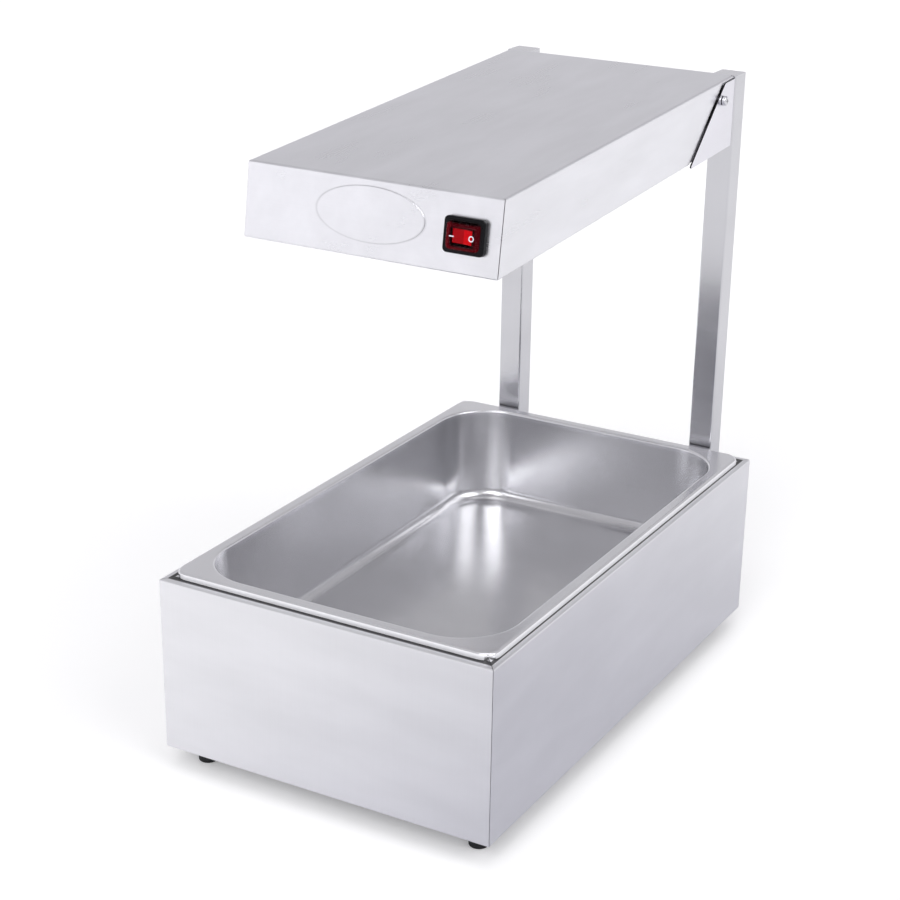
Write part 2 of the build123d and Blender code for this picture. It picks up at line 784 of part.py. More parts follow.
# ------------------------------------------------------------------ lamp unit
lamp_x = [(index - (lamp_count - 1) / 2) * lamp_pitch for index in range(lamp_count)]
guard_x = [(index / (guard_wires - 1) - 0.5) * guard_span for index in range(guard_wires)]


def reflector():
    """Folded trough over the lamps, lying on the cheeks' flanges."""
    edge = tab_face - tray_side_gap
    half_outline = [
        (edge, seat_z + reflector_sheet),
        (reflector_mouth, seat_z + reflector_sheet),
        (reflector_crown, crown_z + reflector_sheet),
    ]
    outline = half_outline + [(-x, z) for x, z in reversed(half_outline)]
    face = section(outline, reflector_bend, reflector_sheet, Side.LEFT)
    start = Plane(origin=(0, rear_bulkhead, 0), x_dir=(1, 0, 0), z_dir=(0, -1, 0))
    trough = extrude(start * face, rear_bulkhead - front_bulkhead)
    return drill(trough, flange_holes(m4 / 2))


def tray(bulkhead, far, direction):
    """Bulkhead at one end of the reflector, folded out to close a wiring bay."""
    outline = [(bulkhead, crown_z + reflector_sheet), (bulkhead, seat_z), (far, seat_z)]
    side = Side.LEFT if direction > 0 else Side.RIGHT
    sheet = section(outline, hood_bend, tray_sheet, side)
    body = extrude(Plane.YZ * sheet, tab_face - tray_side_gap, both=True)
    upright = box(
        (reflector_mouth, bulkhead - 2 * hood_bend, seat_z + hood_bend),
        (hood_half, bulkhead + 2 * hood_bend, hood_top),
    )
    cutters = both_sides(upright) + flange_holes(m4 / 2)
    near, beyond = bulkhead - 2 * hood_bend, bulkhead + 2 * hood_bend
    for x in lamp_x:
        cutters.append(cylinder(lamp_radius + lamp_clearance, (x, near, lamp_z), (x, beyond, lamp_z)))
    for x in guard_x:
        cutters.append(cylinder(guard_wire + guard_clearance, (x, near, guard_z), (x, beyond, guard_z)))
    return drill(body, cutters)


def lamp_parts():
    """Quartz tubes, filaments, ceramic caps and holders of every lamp."""
    tubes, filaments, caps, holders = [], [], [], []
    seat = tray_sheet + holder_length - holder_wall  # bulkhead's inner face to the bore's blind end
    low, high = front_bulkhead - seat, rear_bulkhead + seat
    bore = lamp_radius + lamp_clearance
    for x in lamp_x:

        def bar(radius, start, end):
            return cylinder(radius, (x, start, lamp_z), (x, end, lamp_z))

        glass = bar(lamp_radius, low + lamp_clearance, high - lamp_clearance)
        tubes.append(glass - bar(lamp_radius - lamp_wall, low, high))
        coil = bar(filament_radius, front_bulkhead + lamp_cap_length, rear_bulkhead - lamp_cap_length)
        filaments.append(coil + bar(lead_radius, low, high))
        for place, way in ((front_bulkhead, -1), (rear_bulkhead, 1)):
            near, far = place + way * tray_sheet, place + way * (tray_sheet + holder_length)
            block = box(
                (x - holder_width / 2, min(near, far), lamp_z - holder_height / 2),
                (x + holder_width / 2, max(near, far), lamp_z + holder_height / 2),
            )
            holders.append(block - bar(bore, place, place + way * seat))
            caps.append(ring(lamp_cap_radius, bore, lamp_cap_length, (x, place, lamp_z), (0, -way, 0)))
    return tubes, filaments, caps, holders


def wire_guard():
    """Wires of the guard: the long ones end in the bulkheads, the cross ones lie under them."""
    low, high = front_bulkhead - tray_sheet - guard_end, rear_bulkhead + tray_sheet + guard_end
    wires = [cylinder(guard_wire, (x, low, guard_z), (x, high, guard_z)) for x in guard_x]
    z = guard_z - guard_wire - guard_cross_wire
    half = guard_span / 2 + 2 * guard_wire
    pitch = (rear_bulkhead - front_bulkhead) / guard_cross_wires
    for index in range(guard_cross_wires):
        y = front_bulkhead + (index + 0.5) * pitch
        wires.append(cylinder(guard_cross_wire, (-half, y, z), (half, y, z)))
    return wires


# ------------------------------------------------------------------ switch
def switch_rocker():
    """Rocker with two faces in a shallow V, in the ON position."""
    half = rocker_width / 2
    rise = half * tan(radians(rocker_swing))
    heel = -rocker_root - pin_radius
    outline = Polygon(
        (-half, rise),
        (0, 0),
        (half, rise),
        (half, rise - rocker_skirt),
        (half / 2, heel),
        (-half / 2, heel),
        (-half, rise - rocker_skirt),
        align=None,
    )
    body = extrude(Plane.XZ * outline, rocker_height / 2, both=True)
    rims = body.edges().filter_by(lambda e: e.center().Z > rise / 3)
    body = fillet(rims, rocker_round)
    body -= Pos(0, 0, -rocker_root) * Rot(90, 0, 0) * Cylinder(pin_radius + pivot_clearance, body_height)
    turned = Pos(0, 0, -rocker_root) * Rot(0, -rocker_swing, 0) * Pos(0, 0, rocker_root) * body
    return switch_place * Pos(0, 0, rocker_level) * turned


def switch_body():
    """Moulded body through the fascia, open to the front for the rocker."""
    grow = 2 * body_collar_reach
    body = extrude(RectangleRounded(body_width + grow, body_height + grow, frame_corner / 2), body_collar)
    body += Pos(0, 0, -body_depth / 2) * Box(body_width, body_height, body_depth)
    body -= Box(body_width - 2 * body_wall, body_height - 2 * body_wall, body_depth)
    seat = Cylinder(pin_radius + nut_clearance, body_height - body_wall)
    return switch_place * (body - Pos(0, 0, rocker_level - rocker_root) * Rot(90, 0, 0) * seat)


def switch_pin():
    """Pin through the rocker, held in the walls of the body."""
    pin = Cylinder(pin_radius, body_height - body_wall - 2 * nut_clearance)
    return switch_place * Pos(0, 0, rocker_level - rocker_root) * Rot(90, 0, 0) * pin


def switch_frame():
    """Rounded frame that clamps the boot over the body's collar."""
    frame = extrude(RectangleRounded(frame_width, frame_height, frame_corner), frame_depth)
    frame = fillet(frame.edges().group_by(Axis.Z)[-1], frame_round)
    grow = 2 * (body_collar_reach + switch_fit)
    frame -= extrude(Rectangle(body_width + grow, body_height + grow), body_collar + boot_wall)
    window = RectangleRounded(boot_width + switch_fit, boot_height + switch_fit, boot_corner)
    frame -= extrude(window, frame_depth)
    return switch_place * frame


def switch_boot():
    """Clear splash boot: a hollow dome over the rocker with a flat rim."""
    dome = extrude(RectangleRounded(boot_width, boot_height, boot_corner), boot_depth - body_collar)
    dome = fillet(dome.edges().group_by(Axis.Z)[-1], boot_round - boot_wall / 2)
    grow = 2 * body_collar_reach
    dome += extrude(Rectangle(body_width + grow, body_height + grow), boot_wall)
    inner_width, inner_height = boot_width - 2 * boot_wall, boot_height - 2 * boot_wall
    inside = RectangleRounded(inner_width, inner_height, boot_corner - boot_wall)
    dome -= extrude(inside, boot_depth - body_collar - boot_wall)
    return switch_place * Pos(0, 0, body_collar) * dome


def blade_places():
    """Centres of the two contact blades, in the switch's frame."""
    return [Pos(side * blade_pitch / 2, 0, -body_depth - blade_length / 2) for side in (-1, 1)]


def save_switch():
    """Every piece of the switch."""
    save("switch_rocker", switch_rocker(), place=hood_place)
    save("switch_body", switch_body(), place=hood_place)
    save("switch_pin", switch_pin(), place=hood_place)
    save("switch_frame", switch_frame(), place=hood_place)
    save("switch_boot", switch_boot(), place=hood_place)
    blade = Box(blade_sheet, blade_width, blade_length)
    save("switch_blades", *[switch_place * spot * blade for spot in blade_places()], place=hood_place)


# ------------------------------------------------------------------ cable entry and wiring
def gland_parts():
    """Cable gland with its hexagonal collar and cap, and the nut inside the hood."""
    bore = Circle(gland_bore)
    inside = tray_sheet + gland_nut_depth + thread_tail
    stem = extrude(Circle(gland_thread) - bore, -inside)
    collar = extrude(RegularPolygon(gland_collar, 6, major_radius=False) - bore, gland_collar_depth)
    cap = extrude(Circle(gland_cap_radius), gland_collar_depth + gland_cap_depth)
    cap = fillet(cap.edges().group_by(Axis.Z)[-1], gland_cap_radius / 3)
    cap -= Cylinder(gland_bore, 4 * gland_cap_depth)
    nut = RegularPolygon(gland_collar, 6, major_radius=False) - Circle(gland_thread + nut_clearance)
    nut = Pos(0, 0, -tray_sheet) * extrude(nut, -gland_nut_depth)
    return gland_place() * (stem + collar + cap), gland_place() * nut


block_y = rear_bulkhead + tray_sheet + guard_end + block_gap + block_depth / 2
block_foot = seat_z + tray_sheet
way_x = [(index - (block_ways - 1) / 2) * block_width / block_ways for index in range(block_ways)]


def terminal_block():
    """Ceramic terminal block on the rear tray, with a sunk screw at each way."""
    half = block_width / 2
    top = block_foot + block_height
    middle = top - block_height / 2
    block = box((-half, block_y - block_depth / 2, block_foot), (half, block_y + block_depth / 2, top))
    bore = block_screw_radius + block_screw_gap
    wells = [cylinder(bore, (x, block_y, middle), (x, block_y, top + 1)) for x in way_x]
    screws = [cylinder(block_screw_radius, (x, block_y, middle), (x, block_y, top - 1)) for x in way_x]
    return drill(block, wells), screws


def wire(*points):
    """Insulated wire along straight runs with rounded turns."""
    path = FilletPolyline(*points, radius=wire_bend)
    start = Plane(origin=path @ 0, z_dir=path % 0)
    return sweep(start * Circle(wire_radius), path=path)


def wiring():
    """Wires from the terminal block to the switch and to the lamp holders."""
    over = (crown_z + reflector_sheet + hood_top - hood_sheet) / 2
    left_blade = (switch_place.location * blade_places()[0]).position
    tail = (switch_place.location * blade_places()[1] * Pos(0, 0, -blade_length / 2)).position
    turn = tail - switch_place.z_dir * 1.6 * wire_bend
    block_top = block_foot + block_height
    front_face = front_bulkhead - tray_sheet - holder_length
    rear_face = rear_bulkhead + tray_sheet + holder_length
    high_z, low_z = lamp_z + holder_height / 4, lamp_z - holder_height / 4
    first, last = lamp_x[0], lamp_x[-1]
    loop = wire_bend + 3
    back = rear_face + 2 * loop
    feed_z = block_foot + block_height / 3
    to_switch = wire(
        tail,
        turn,
        (tail.X, turn.Y, over),
        (tail.X, block_y, over),
        (way_x[-1], block_y, over),
        (way_x[-1], block_y, block_top),
    )
    to_front_lamp = wire(
        (left_blade.X - blade_sheet / 2, left_blade.Y, left_blade.Z),
        (last, left_blade.Y, left_blade.Z),
        (last, front_face, left_blade.Z),
    )
    to_rear_lamp = wire(
        (way_x[0], block_y + block_depth / 2, feed_z),
        (way_x[0], back, feed_z),
        (first, back, high_z),
        (first, rear_face, high_z),
    )
    front_link = wire(
        (first, front_face, high_z),
        (first, front_face - loop, high_z),
        (last, front_face - loop, high_z),
        (last, front_face, high_z),
    )
    rear_link = wire(
        (first, rear_face, low_z),
        (first, rear_face + loop, low_z),
        (last, rear_face + loop, low_z),
        (last, rear_face, low_z),
    )
    return [to_switch, to_front_lamp, to_rear_lamp, front_link, rear_link]


# ------------------------------------------------------------------ hood
def save_hood():
    """The hood's sheet metal, lamp unit, wiring and screws."""
    save("hood_shell", hood_shell(), place=hood_place)
    save("hood_rear_panel", hood_rear_panel(), place=hood_place)
    save("hood_pivot_tabs", *both_sides(pivot_tab()), place=hood_place)
    save("reflector", reflector(), place=hood_place)
    front_floor = fascia_y(seat_z, hood_sheet) + hood_bend
    rear_floor = rear_foot - rear_panel_flange - switch_fit
    save("front_bulkhead_tray", tray(front_bulkhead, front_floor, -1), place=hood_place)
    save("rear_bulkhead_tray", tray(rear_bulkhead, rear_floor, 1), place=hood_place)
    tubes, filaments, caps, holders = lamp_parts()
    save("quartz_tubes", *tubes, place=hood_place)
    save("lamp_filaments", *filaments, place=hood_place)
    save("lamp_end_caps", *caps, place=hood_place)
    save("lamp_holders", *holders, place=hood_place)
    save("wire_guard", *wire_guard(), place=hood_place)
    reach = hood_sheet + tray_sheet + screw_reach
    self_tapping = m4 - 2 * nut_clearance
    screws = [pan_screw(self_tapping, reach, (x, y, hood_bottom), (0, 0, 1)) for x, y in unit_screw_spots]
    save("hood_screws", *screws, place=hood_place)
    gland, nut = gland_parts()
    save("cable_gland", gland, place=hood_place)
    save("gland_nut", nut, place=hood_place)
    block, block_screws = terminal_block()
    save("terminal_block", block, place=hood_place)
    save("terminal_screws", *block_screws, place=hood_place)
    save("hood_wiring", *wiring(), place=hood_place)


os.makedirs("parts", exist_ok=True)
save_base()
save("food_pan", food_pan())
save_posts()
save_brackets()
save_hood()
save_switch()
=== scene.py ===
"""Looks of a countertop chip warmer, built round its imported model.

Metres, +Z up, the front faces -Y. Every sub-assembly is a class that dresses its own
nodes and models the small pieces that its solids leave plain.
"""

import logging
import math
from collections.abc import Iterable
from dataclasses import dataclass
from enum import Enum

import bpy
from mathutils import Matrix, Vector


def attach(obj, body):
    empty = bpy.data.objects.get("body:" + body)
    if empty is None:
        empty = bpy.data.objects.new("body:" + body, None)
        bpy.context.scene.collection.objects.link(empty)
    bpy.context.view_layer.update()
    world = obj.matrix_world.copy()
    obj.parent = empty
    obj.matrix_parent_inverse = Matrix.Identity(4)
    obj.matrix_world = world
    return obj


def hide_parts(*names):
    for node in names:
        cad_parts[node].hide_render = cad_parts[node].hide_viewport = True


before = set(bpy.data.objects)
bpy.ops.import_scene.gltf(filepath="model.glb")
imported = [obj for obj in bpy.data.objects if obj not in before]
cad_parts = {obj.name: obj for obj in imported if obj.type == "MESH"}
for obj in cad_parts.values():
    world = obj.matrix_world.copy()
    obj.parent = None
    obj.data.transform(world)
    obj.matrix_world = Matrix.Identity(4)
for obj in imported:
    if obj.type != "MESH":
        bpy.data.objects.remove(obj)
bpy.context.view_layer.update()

logging.basicConfig(level=logging.INFO, format="%(message)s")
log = logging.getLogger("chip warmer")

MM = 0.001
IMAGE_SIDE = 900
SQUARE_ON = 0.9  # a face looks straight along an axis above this share of its normal
NEARLY_ON = 0.8  # the same for a face that is a little rounded
ROUND_ANGLE = math.radians(60)  # round pieces are shaded soft up to this angle


# ------------------------------------------------------------------ small tools
def srgb(code: str) -> tuple[float, float, float, float]:
    """Turns an sRGB hex colour into linear values.

    Args:
        code: Six hex digits after a hash.

    Returns:
        Linear red, green and blue, and an alpha of 1.
    """
    parts = [int(code[i : i + 2], 16) / 255 for i in (1, 3, 5)]
    low, high = [p / 12.92 for p in parts], [((p + 0.055) / 1.055) ** 2.4 for p in parts]
    return (*[b if p > 0.04045 else a for p, a, b in zip(parts, low, high)], 1.0)


def add(tree: bpy.types.NodeTree, kind: str, values: dict | None = None, links: dict | None = None,
        **settings: object) -> bpy.types.Node:
    """Adds one node with its settings, its values and its incoming links.

    Args:
        tree: The node tree that it goes into.
        kind: Blender's name for the kind of node.
        values: Value of each input, by its name or number.
        links: Output that feeds each input, by its name or number.
        settings: The node's own settings.

    Returns:
        The node.
    """
    node = tree.nodes.new(kind)
    for name, value in settings.items():
        setattr(node, name, value)
    for name, value in (values or {}).items():
        node.inputs[name].default_value = value
    for name, source in (links or {}).items():
        tree.links.new(source, node.inputs[name])
    return node


class Grain(Enum):
    """Direction of the brushing on a sheet."""

    ALONG_X = (1, 0, 0)
    ALONG_Y = (0, 1, 0)
    ALONG_Z = (0, 0, 1)


# ------------------------------------------------------------------ finishes
@dataclass(frozen=True)
class Finish:
    """A real material with the way that its surface was made."""

    name: str
    colour: str
    roughness: float
    metallic: float = 0.0

    def pattern(self, tree: bpy.types.NodeTree, shader: bpy.types.Node) -> None:
        """Adds what the eye sees of the surface; a plain finish has only its own values."""

    def material(self) -> bpy.types.Material:
        """Builds the material.

        Returns:
            The material, with its pattern linked in.
        """
        made = bpy.data.materials.new(self.name)
        made.use_nodes = True
        shader = made.node_tree.nodes["Principled BSDF"]
        shader.inputs["Base Color"].default_value = srgb(self.colour)
        shader.inputs["Roughness"].default_value = self.roughness
        shader.inputs["Metallic"].default_value = self.metallic
        self.pattern(made.node_tree, shader)
        return made


def object_points(tree: bpy.types.NodeTree, scale: tuple[float, float, float]) -> bpy.types.NodeSocket:
    """Object coordinates, stretched to a pattern's own size.

    Args:
        tree: The material's nodes.
        scale: Cells of the pattern per metre along each axis.

    Returns:
        The scaled coordinates.
    """
    place = add(tree, "ShaderNodeTexCoord")
    return add(tree, "ShaderNodeMapping", {"Scale": scale}, {"Vector": place.outputs["Object"]}).outputs["Vector"]


def noise(tree: bpy.types.NodeTree, scale: tuple[float, float, float], detail: float = 2.0) -> bpy.types.NodeSocket:
    """Noise at a real size.

    Args:
        tree: The material's nodes.
        scale: Cells per metre along each axis.
        detail: Octaves of finer noise.

    Returns:
        The noise, about 0.5 in the middle.
    """
    points = object_points(tree, scale)
    return add(tree, "ShaderNodeTexNoise", {"Scale": 1.0, "Detail": detail}, {"Vector": points}).outputs["Fac"]


def spread(tree: bpy.types.NodeTree, source: bpy.types.NodeSocket, low: float, high: float) -> bpy.types.NodeSocket:
    """Maps the useful middle of a noise to a range.

    Args:
        tree: The material's nodes.
        source: The noise.
        low: Value at the noise's dark end.
        high: Value at its bright end.

    Returns:
        The mapped value.
    """
    ends = {"From Min": 0.3, "From Max": 0.7, "To Min": low, "To Max": high}
    return add(tree, "ShaderNodeMapRange", ends, {"Value": source}).outputs["Result"]


def math_node(tree: bpy.types.NodeTree, operation: str, first: bpy.types.NodeSocket | float,
              second: bpy.types.NodeSocket | float = 0.0) -> bpy.types.NodeSocket:
    """One sum of two values, each a number or a node's output.

    Args:
        tree: The material's nodes.
        operation: Blender's name for the sum.
        first: First value.
        second: Second value.

    Returns:
        The result.
    """
    parts = (first, second)
    links = {i: part for i, part in enumerate(parts) if isinstance(part, bpy.types.NodeSocket)}
    values = {i: part for i, part in enumerate(parts) if i not in links}
    return add(tree, "ShaderNodeMath", values, links, operation=operation).outputs[0]


def step_down(tree: bpy.types.NodeTree, source: bpy.types.NodeSocket, start: float, end: float) -> bpy.types.NodeSocket:
    """A smooth step from 1 down to 0.

    Args:
        tree: The material's nodes.
        source: Value that is followed.
        start: Where it is still 1.
        end: Where it is 0.

    Returns:
        The step.
    """
    ends = {"From Min": start, "From Max": end, "To Min": 1.0, "To Max": 0.0}
    return add(tree, "ShaderNodeMapRange", ends, {"Value": source}, interpolation_type="SMOOTHSTEP").outputs["Result"]


def split(tree: bpy.types.NodeTree, vector: bpy.types.NodeSocket) -> list[bpy.types.NodeSocket]:
    """Takes a vector apart.

    Args:
        tree: The material's nodes.
        vector: The vector.

    Returns:
        Its three parts.
    """
    return list(add(tree, "ShaderNodeSeparateXYZ", links={0: vector}).outputs)


@dataclass(frozen=True)
class Spot:
    """A place on the object with its own axes: X to the right, turned about X only."""

    origin: tuple[float, float, float]
    turn: float

    def matrix(self) -> Matrix:
        """Matrix that carries a piece from its own drawing to this place."""
        return Matrix.Translation(self.origin) @ Matrix.Rotation(self.turn, 4, "X")

    def points(self, tree: bpy.types.NodeTree) -> bpy.types.NodeSocket:
        """Object coordinates seen from this place.

        Args:
            tree: The material's nodes.

        Returns:
            The turned coordinates, in metres.
        """
        start = self.matrix().inverted().translation
        place = add(tree, "ShaderNodeTexCoord")
        return add(tree, "ShaderNodeMapping", {"Location": start, "Rotation": (-self.turn, 0, 0)},
                   {"Vector": place.outputs["Object"]}).outputs["Vector"]


# The switch's place on the fascia: Y up the fascia, Z outwards.
SWITCH_SPOT = Spot((90.6 * MM, -191.709 * MM, 520.484 * MM), math.atan2(0.988362, 0.152123))
# The hood's own frame: Y along its top to the rear, Z square to the top.
HOOD_SPOT = Spot((0.0, 243.8 * MM, 556.9 * MM), math.radians(2.75))
# The gland's mouth: Z out along the cable's way.
GLAND_SPOT = Spot((0.0, 204.210 * MM, 538.980 * MM), math.atan2(-0.676233, -0.736687))


@dataclass(frozen=True)
class BrushedSteel(Finish):
    """Stainless sheet brushed with a belt, then wiped by hand.

    The belt leaves fine lines that stretch reflections across them. Real ones are taken
    to be about 0.1 mm apart, too fine to show, so they are drawn 0.9 mm apart and weak.
    Wiping leaves soft clouds as wide as a hand.
    """

    metallic: float = 1.0
    grain: Grain = Grain.ALONG_Z
    line_gap: float = 0.9 * MM
    line_length: float = 70 * MM
    wipe: tuple[float, float, float] = (120 * MM, 120 * MM, 35 * MM)
    wipe_depth: float = 0.06
    line_depth: float = 0.006
    relief: float = 0.03
    relief_height: float = 0.05 * MM
    across_from: float = 0.7  # share of a normal along the grain above which a face is brushed across
    gloss_range: float = 0.01
    wipe_gloss: tuple[float, float] = (-0.03, 0.05)

    def painted_shade(self, tree: bpy.types.NodeTree) -> bpy.types.NodeSocket | float:
        """Share of the sheet's tone that is left after painted shade; a plain sheet keeps all of it."""
        return 1.0

    def lines(self, tree: bpy.types.NodeTree, grain: Grain) -> bpy.types.NodeSocket:
        """Brushing along one axis.

        Args:
            tree: The material's nodes.
            grain: Direction of the lines.

        Returns:
            Noise stretched along the grain.
        """
        return noise(tree, tuple(1 / (self.line_length if axis else self.line_gap) for axis in grain.value), 2.0)

    def pattern(self, tree: bpy.types.NodeTree, shader: bpy.types.Node) -> None:
        """Lines along the grain, across on faces that the grain runs into, and clouds of wiping."""
        facing = add(tree, "ShaderNodeVectorMath", {1: self.grain.value},
                     {0: add(tree, "ShaderNodeTexCoord").outputs["Normal"]}, operation="DOT_PRODUCT")
        end_on = add(tree, "ShaderNodeMath", {1: self.across_from}, {0: add(
            tree, "ShaderNodeMath", links={0: facing.outputs["Value"]}, operation="ABSOLUTE").outputs[0]},
            operation="GREATER_THAN")
        other = Grain.ALONG_X if self.grain is not Grain.ALONG_X else Grain.ALONG_Z
        brushing = add(tree, "ShaderNodeMix", links={"Factor": end_on.outputs[0], 2: self.lines(tree, self.grain),
                                                     3: self.lines(tree, other)}).outputs[0]
        clouds = noise(tree, tuple(1 / length for length in self.wipe), 3.0)
        tone = add(tree, "ShaderNodeMath", links={0: spread(tree, brushing, -self.line_depth, self.line_depth),
                                                  1: spread(tree, clouds, 1 - self.wipe_depth, 1.0)})
        # painted shade from the finish darkens the tone here
        tone = math_node(tree, "MULTIPLY", tone.outputs[0], self.painted_shade(tree))
        colour = add(tree, "ShaderNodeVectorMath", {0: srgb(self.colour)[:3]}, {"Scale": tone}, operation="SCALE")
        gloss = spread(tree, brushing, self.roughness - self.gloss_range, self.roughness + self.gloss_range)
        rough = add(tree, "ShaderNodeMath", links={0: gloss, 1: spread(tree, clouds, *self.wipe_gloss)})
        bump = add(tree, "ShaderNodeBump", {"Strength": self.relief, "Distance": self.relief_height},
                   {"Height": brushing})
        tree.links.new(colour.outputs[0], shader.inputs["Base Color"])
        tree.links.new(rough.outputs[0], shader.inputs["Roughness"])
        tree.links.new(bump.outputs[0], shader.inputs["Normal"])


@dataclass(frozen=True)
class CabinetSteel(BrushedSteel):
    """Brushed sheet with a dark band on its top ledge, round the pan's lip.

    The band is painted shade, standing for the shadow in the gap under the lip. How dark and
    wide it is was chosen. The fold outside it is bright again.
    """

    lip_half: tuple[float, float] = (162.5 * MM, 265.0 * MM)
    shade_strip: tuple[float, float] = (1.4 * MM, 4.2 * MM)
    shade_strip_fade: tuple[float, float] = (0.7, 1.2)  # where the painted shade fades, in its own widths
    under: float = 2.5 * MM
    ledge: float = 188.5 * MM
    left: float = 0.08

    def painted_shade(self, tree: bpy.types.NodeTree) -> bpy.types.NodeSocket:
        """Painted shade in a band round the lip, on faces that look up."""
        place = add(tree, "ShaderNodeTexCoord")
        across, along, height = split(tree, place.outputs["Object"])
        up = split(tree, place.outputs["Normal"])[2]
        # painted shade: the ledge is darkened round the pan's lip, where the lip shades it
        shade_strip = math_node(tree, "GREATER_THAN", up, SQUARE_ON)
        shade_strip = math_node(tree, "MULTIPLY", shade_strip, math_node(tree, "GREATER_THAN", height, self.ledge))
        reached = 0.0
        for source, half, width in zip((across, along), self.lip_half, self.shade_strip):
            away = math_node(tree, "ABSOLUTE", source)
            start, end = (half + share * width for share in self.shade_strip_fade)
            shade_strip = math_node(tree, "MULTIPLY", shade_strip, step_down(tree, away, start, end))
            reached = math_node(tree, "MAXIMUM", reached, math_node(tree, "GREATER_THAN", away, half - self.under))
        shade_strip = math_node(tree, "MULTIPLY", shade_strip, reached)
        return math_node(tree, "SUBTRACT", 1.0, math_node(tree, "MULTIPLY", shade_strip, 1 - self.left))


@dataclass(frozen=True)
class FasciaSteel(BrushedSteel):
    """Brushed sheet of the hood, with a fine darker line painted round its raised oval as painted shade."""

    half: tuple[float, float] = (52 * MM, 23 * MM)
    lift: float = 4.4 * MM  # middle of the oval above the middle of the switch
    line: float = 0.022  # half width of the line, as a share of the oval
    left: float = 0.84
    behind: float = 3 * MM  # how far behind the fascia's face the line still reaches

    def painted_shade(self, tree: bpy.types.NodeTree) -> bpy.types.NodeSocket:
        """Fine darker line round the oval: painted shade along its raised edge."""
        across, up, out = split(tree, SWITCH_SPOT.points(tree))
        across = math_node(tree, "DIVIDE", math_node(tree, "ADD", across, SWITCH_SPOT.origin[0]), self.half[0])
        up = math_node(tree, "DIVIDE", math_node(tree, "SUBTRACT", up, self.lift), self.half[1])
        away = math_node(tree, "SQRT", math_node(tree, "ADD", math_node(tree, "MULTIPLY", across, across),
                                                 math_node(tree, "MULTIPLY", up, up)))
        # painted shade: a darker ring along the oval's raised edge
        ring = step_down(tree, math_node(tree, "ABSOLUTE", math_node(tree, "SUBTRACT", away, 1.0)), 0.0, 2 * self.line)
        near = math_node(tree, "GREATER_THAN", out, -self.behind)
        return math_node(tree, "SUBTRACT", 1.0, math_node(
            tree, "MULTIPLY", math_node(tree, "MULTIPLY", ring, near), 1 - self.left))


@dataclass(frozen=True)
class BracketSteel(BrushedSteel):
    """Brushed plate with its cut edges painted dark, as painted shade."""

    left: float = 0.06
    flat: float = 0.5  # a face is flat plate above this share of its normal to the side

    def painted_shade(self, tree: bpy.types.NodeTree) -> bpy.types.NodeSocket:
        """Painted shade on every face that doesn't look sideways, which are the cut ones."""
        # painted shade: the cut edges are darkened
        sideways = math_node(tree, "ABSOLUTE", split(tree, add(tree, "ShaderNodeTexCoord").outputs["Normal"])[0])
        return math_node(tree, "ADD", self.left, math_node(
            tree, "MULTIPLY", math_node(tree, "GREATER_THAN", sideways, self.flat), 1 - self.left))


@dataclass(frozen=True)
class SatinMetal(Finish):
    """Metal with an even satin: drawn, rolled or turned, with faint marks of its making."""

    metallic: float = 1.0
    speck: float = 0.8 * MM
    gloss_range: float = 0.012
    cloud: float = 45 * MM
    depth: float = 0.05
    ripple: float = 0.03 * MM
    ripple_strength: float = 0.15

    def pattern(self, tree: bpy.types.NodeTree, shader: bpy.types.Node) -> None:
        """A fine speckle in the gloss, and soft clouds in the tone."""
        specks = noise(tree, (1 / self.speck,) * 3, 3.0)
        clouds = noise(tree, (1 / self.cloud,) * 3, 2.0)
        colour = add(tree, "ShaderNodeVectorMath", {0: srgb(self.colour)[:3]},
                     {"Scale": spread(tree, clouds, 1 - self.depth, 1.0)}, operation="SCALE")
        rough = spread(tree, specks, self.roughness - self.gloss_range, self.roughness + self.gloss_range)
        bump = add(tree, "ShaderNodeBump", {"Strength": self.ripple_strength, "Distance": self.ripple},
                   {"Height": clouds})
        tree.links.new(colour.outputs[0], shader.inputs["Base Color"])
        tree.links.new(rough, shader.inputs["Roughness"])
        tree.links.new(bump.outputs[0], shader.inputs["Normal"])


@dataclass(frozen=True)
class DrawnPan(SatinMetal):
    """Deep drawn pan, darker inside below its rim as painted shade.

    Its turned-down lip is ground matt, so it catches light from all round.
    """

    half: tuple[float, float] = (161.0 * MM, 263.5 * MM)
    matt: float = 0.55
    shine: float = 0.3
    rim: float = 193.5 * MM
    inside: float = 0.80
    fade: float = 6 * MM
    steep: float = 0.6  # a face is upright below this share of its normal upwards

    def pattern(self, tree: bpy.types.NodeTree, shader: bpy.types.Node) -> None:
        """The satin of the pan, darker below its rim as painted shade, and the ground edge on the lip's upright faces.
        """
        super().pattern(tree, shader)
        place = add(tree, "ShaderNodeTexCoord")
        across, along, height = split(tree, place.outputs["Object"])
        upright = math_node(tree, "ABSOLUTE", split(tree, place.outputs["Normal"])[2])
        outside = math_node(tree, "MAXIMUM",
                            math_node(tree, "GREATER_THAN", math_node(tree, "ABSOLUTE", across), self.half[0]),
                            math_node(tree, "GREATER_THAN", math_node(tree, "ABSOLUTE", along), self.half[1]))
        edge = math_node(tree, "MULTIPLY", outside, math_node(tree, "LESS_THAN", upright, self.steep))
        satin = shader.inputs["Roughness"].links[0].from_socket
        gloss = add(tree, "ShaderNodeMix", {3: self.matt}, {"Factor": edge, 2: satin})
        metal = add(tree, "ShaderNodeMix", {2: 1.0, 3: self.shine}, {"Factor": edge})
        tree.links.new(gloss.outputs[0], shader.inputs["Roughness"])
        tree.links.new(metal.outputs[0], shader.inputs["Metallic"])
        # painted shade: the pan's inside is darkened below the rim
        depth = math_node(tree, "MULTIPLY", step_down(tree, height, self.rim - self.fade, self.rim),
                          math_node(tree, "SUBTRACT", 1.0, outside))
        left = math_node(tree, "SUBTRACT", 1.0, math_node(tree, "MULTIPLY", depth, 1 - self.inside))
        colour = add(tree, "ShaderNodeVectorMath", links={0: shader.inputs["Base Color"].links[0].from_socket,
                                                          "Scale": left}, operation="SCALE")
        tree.links.new(colour.outputs[0], shader.inputs["Base Color"])


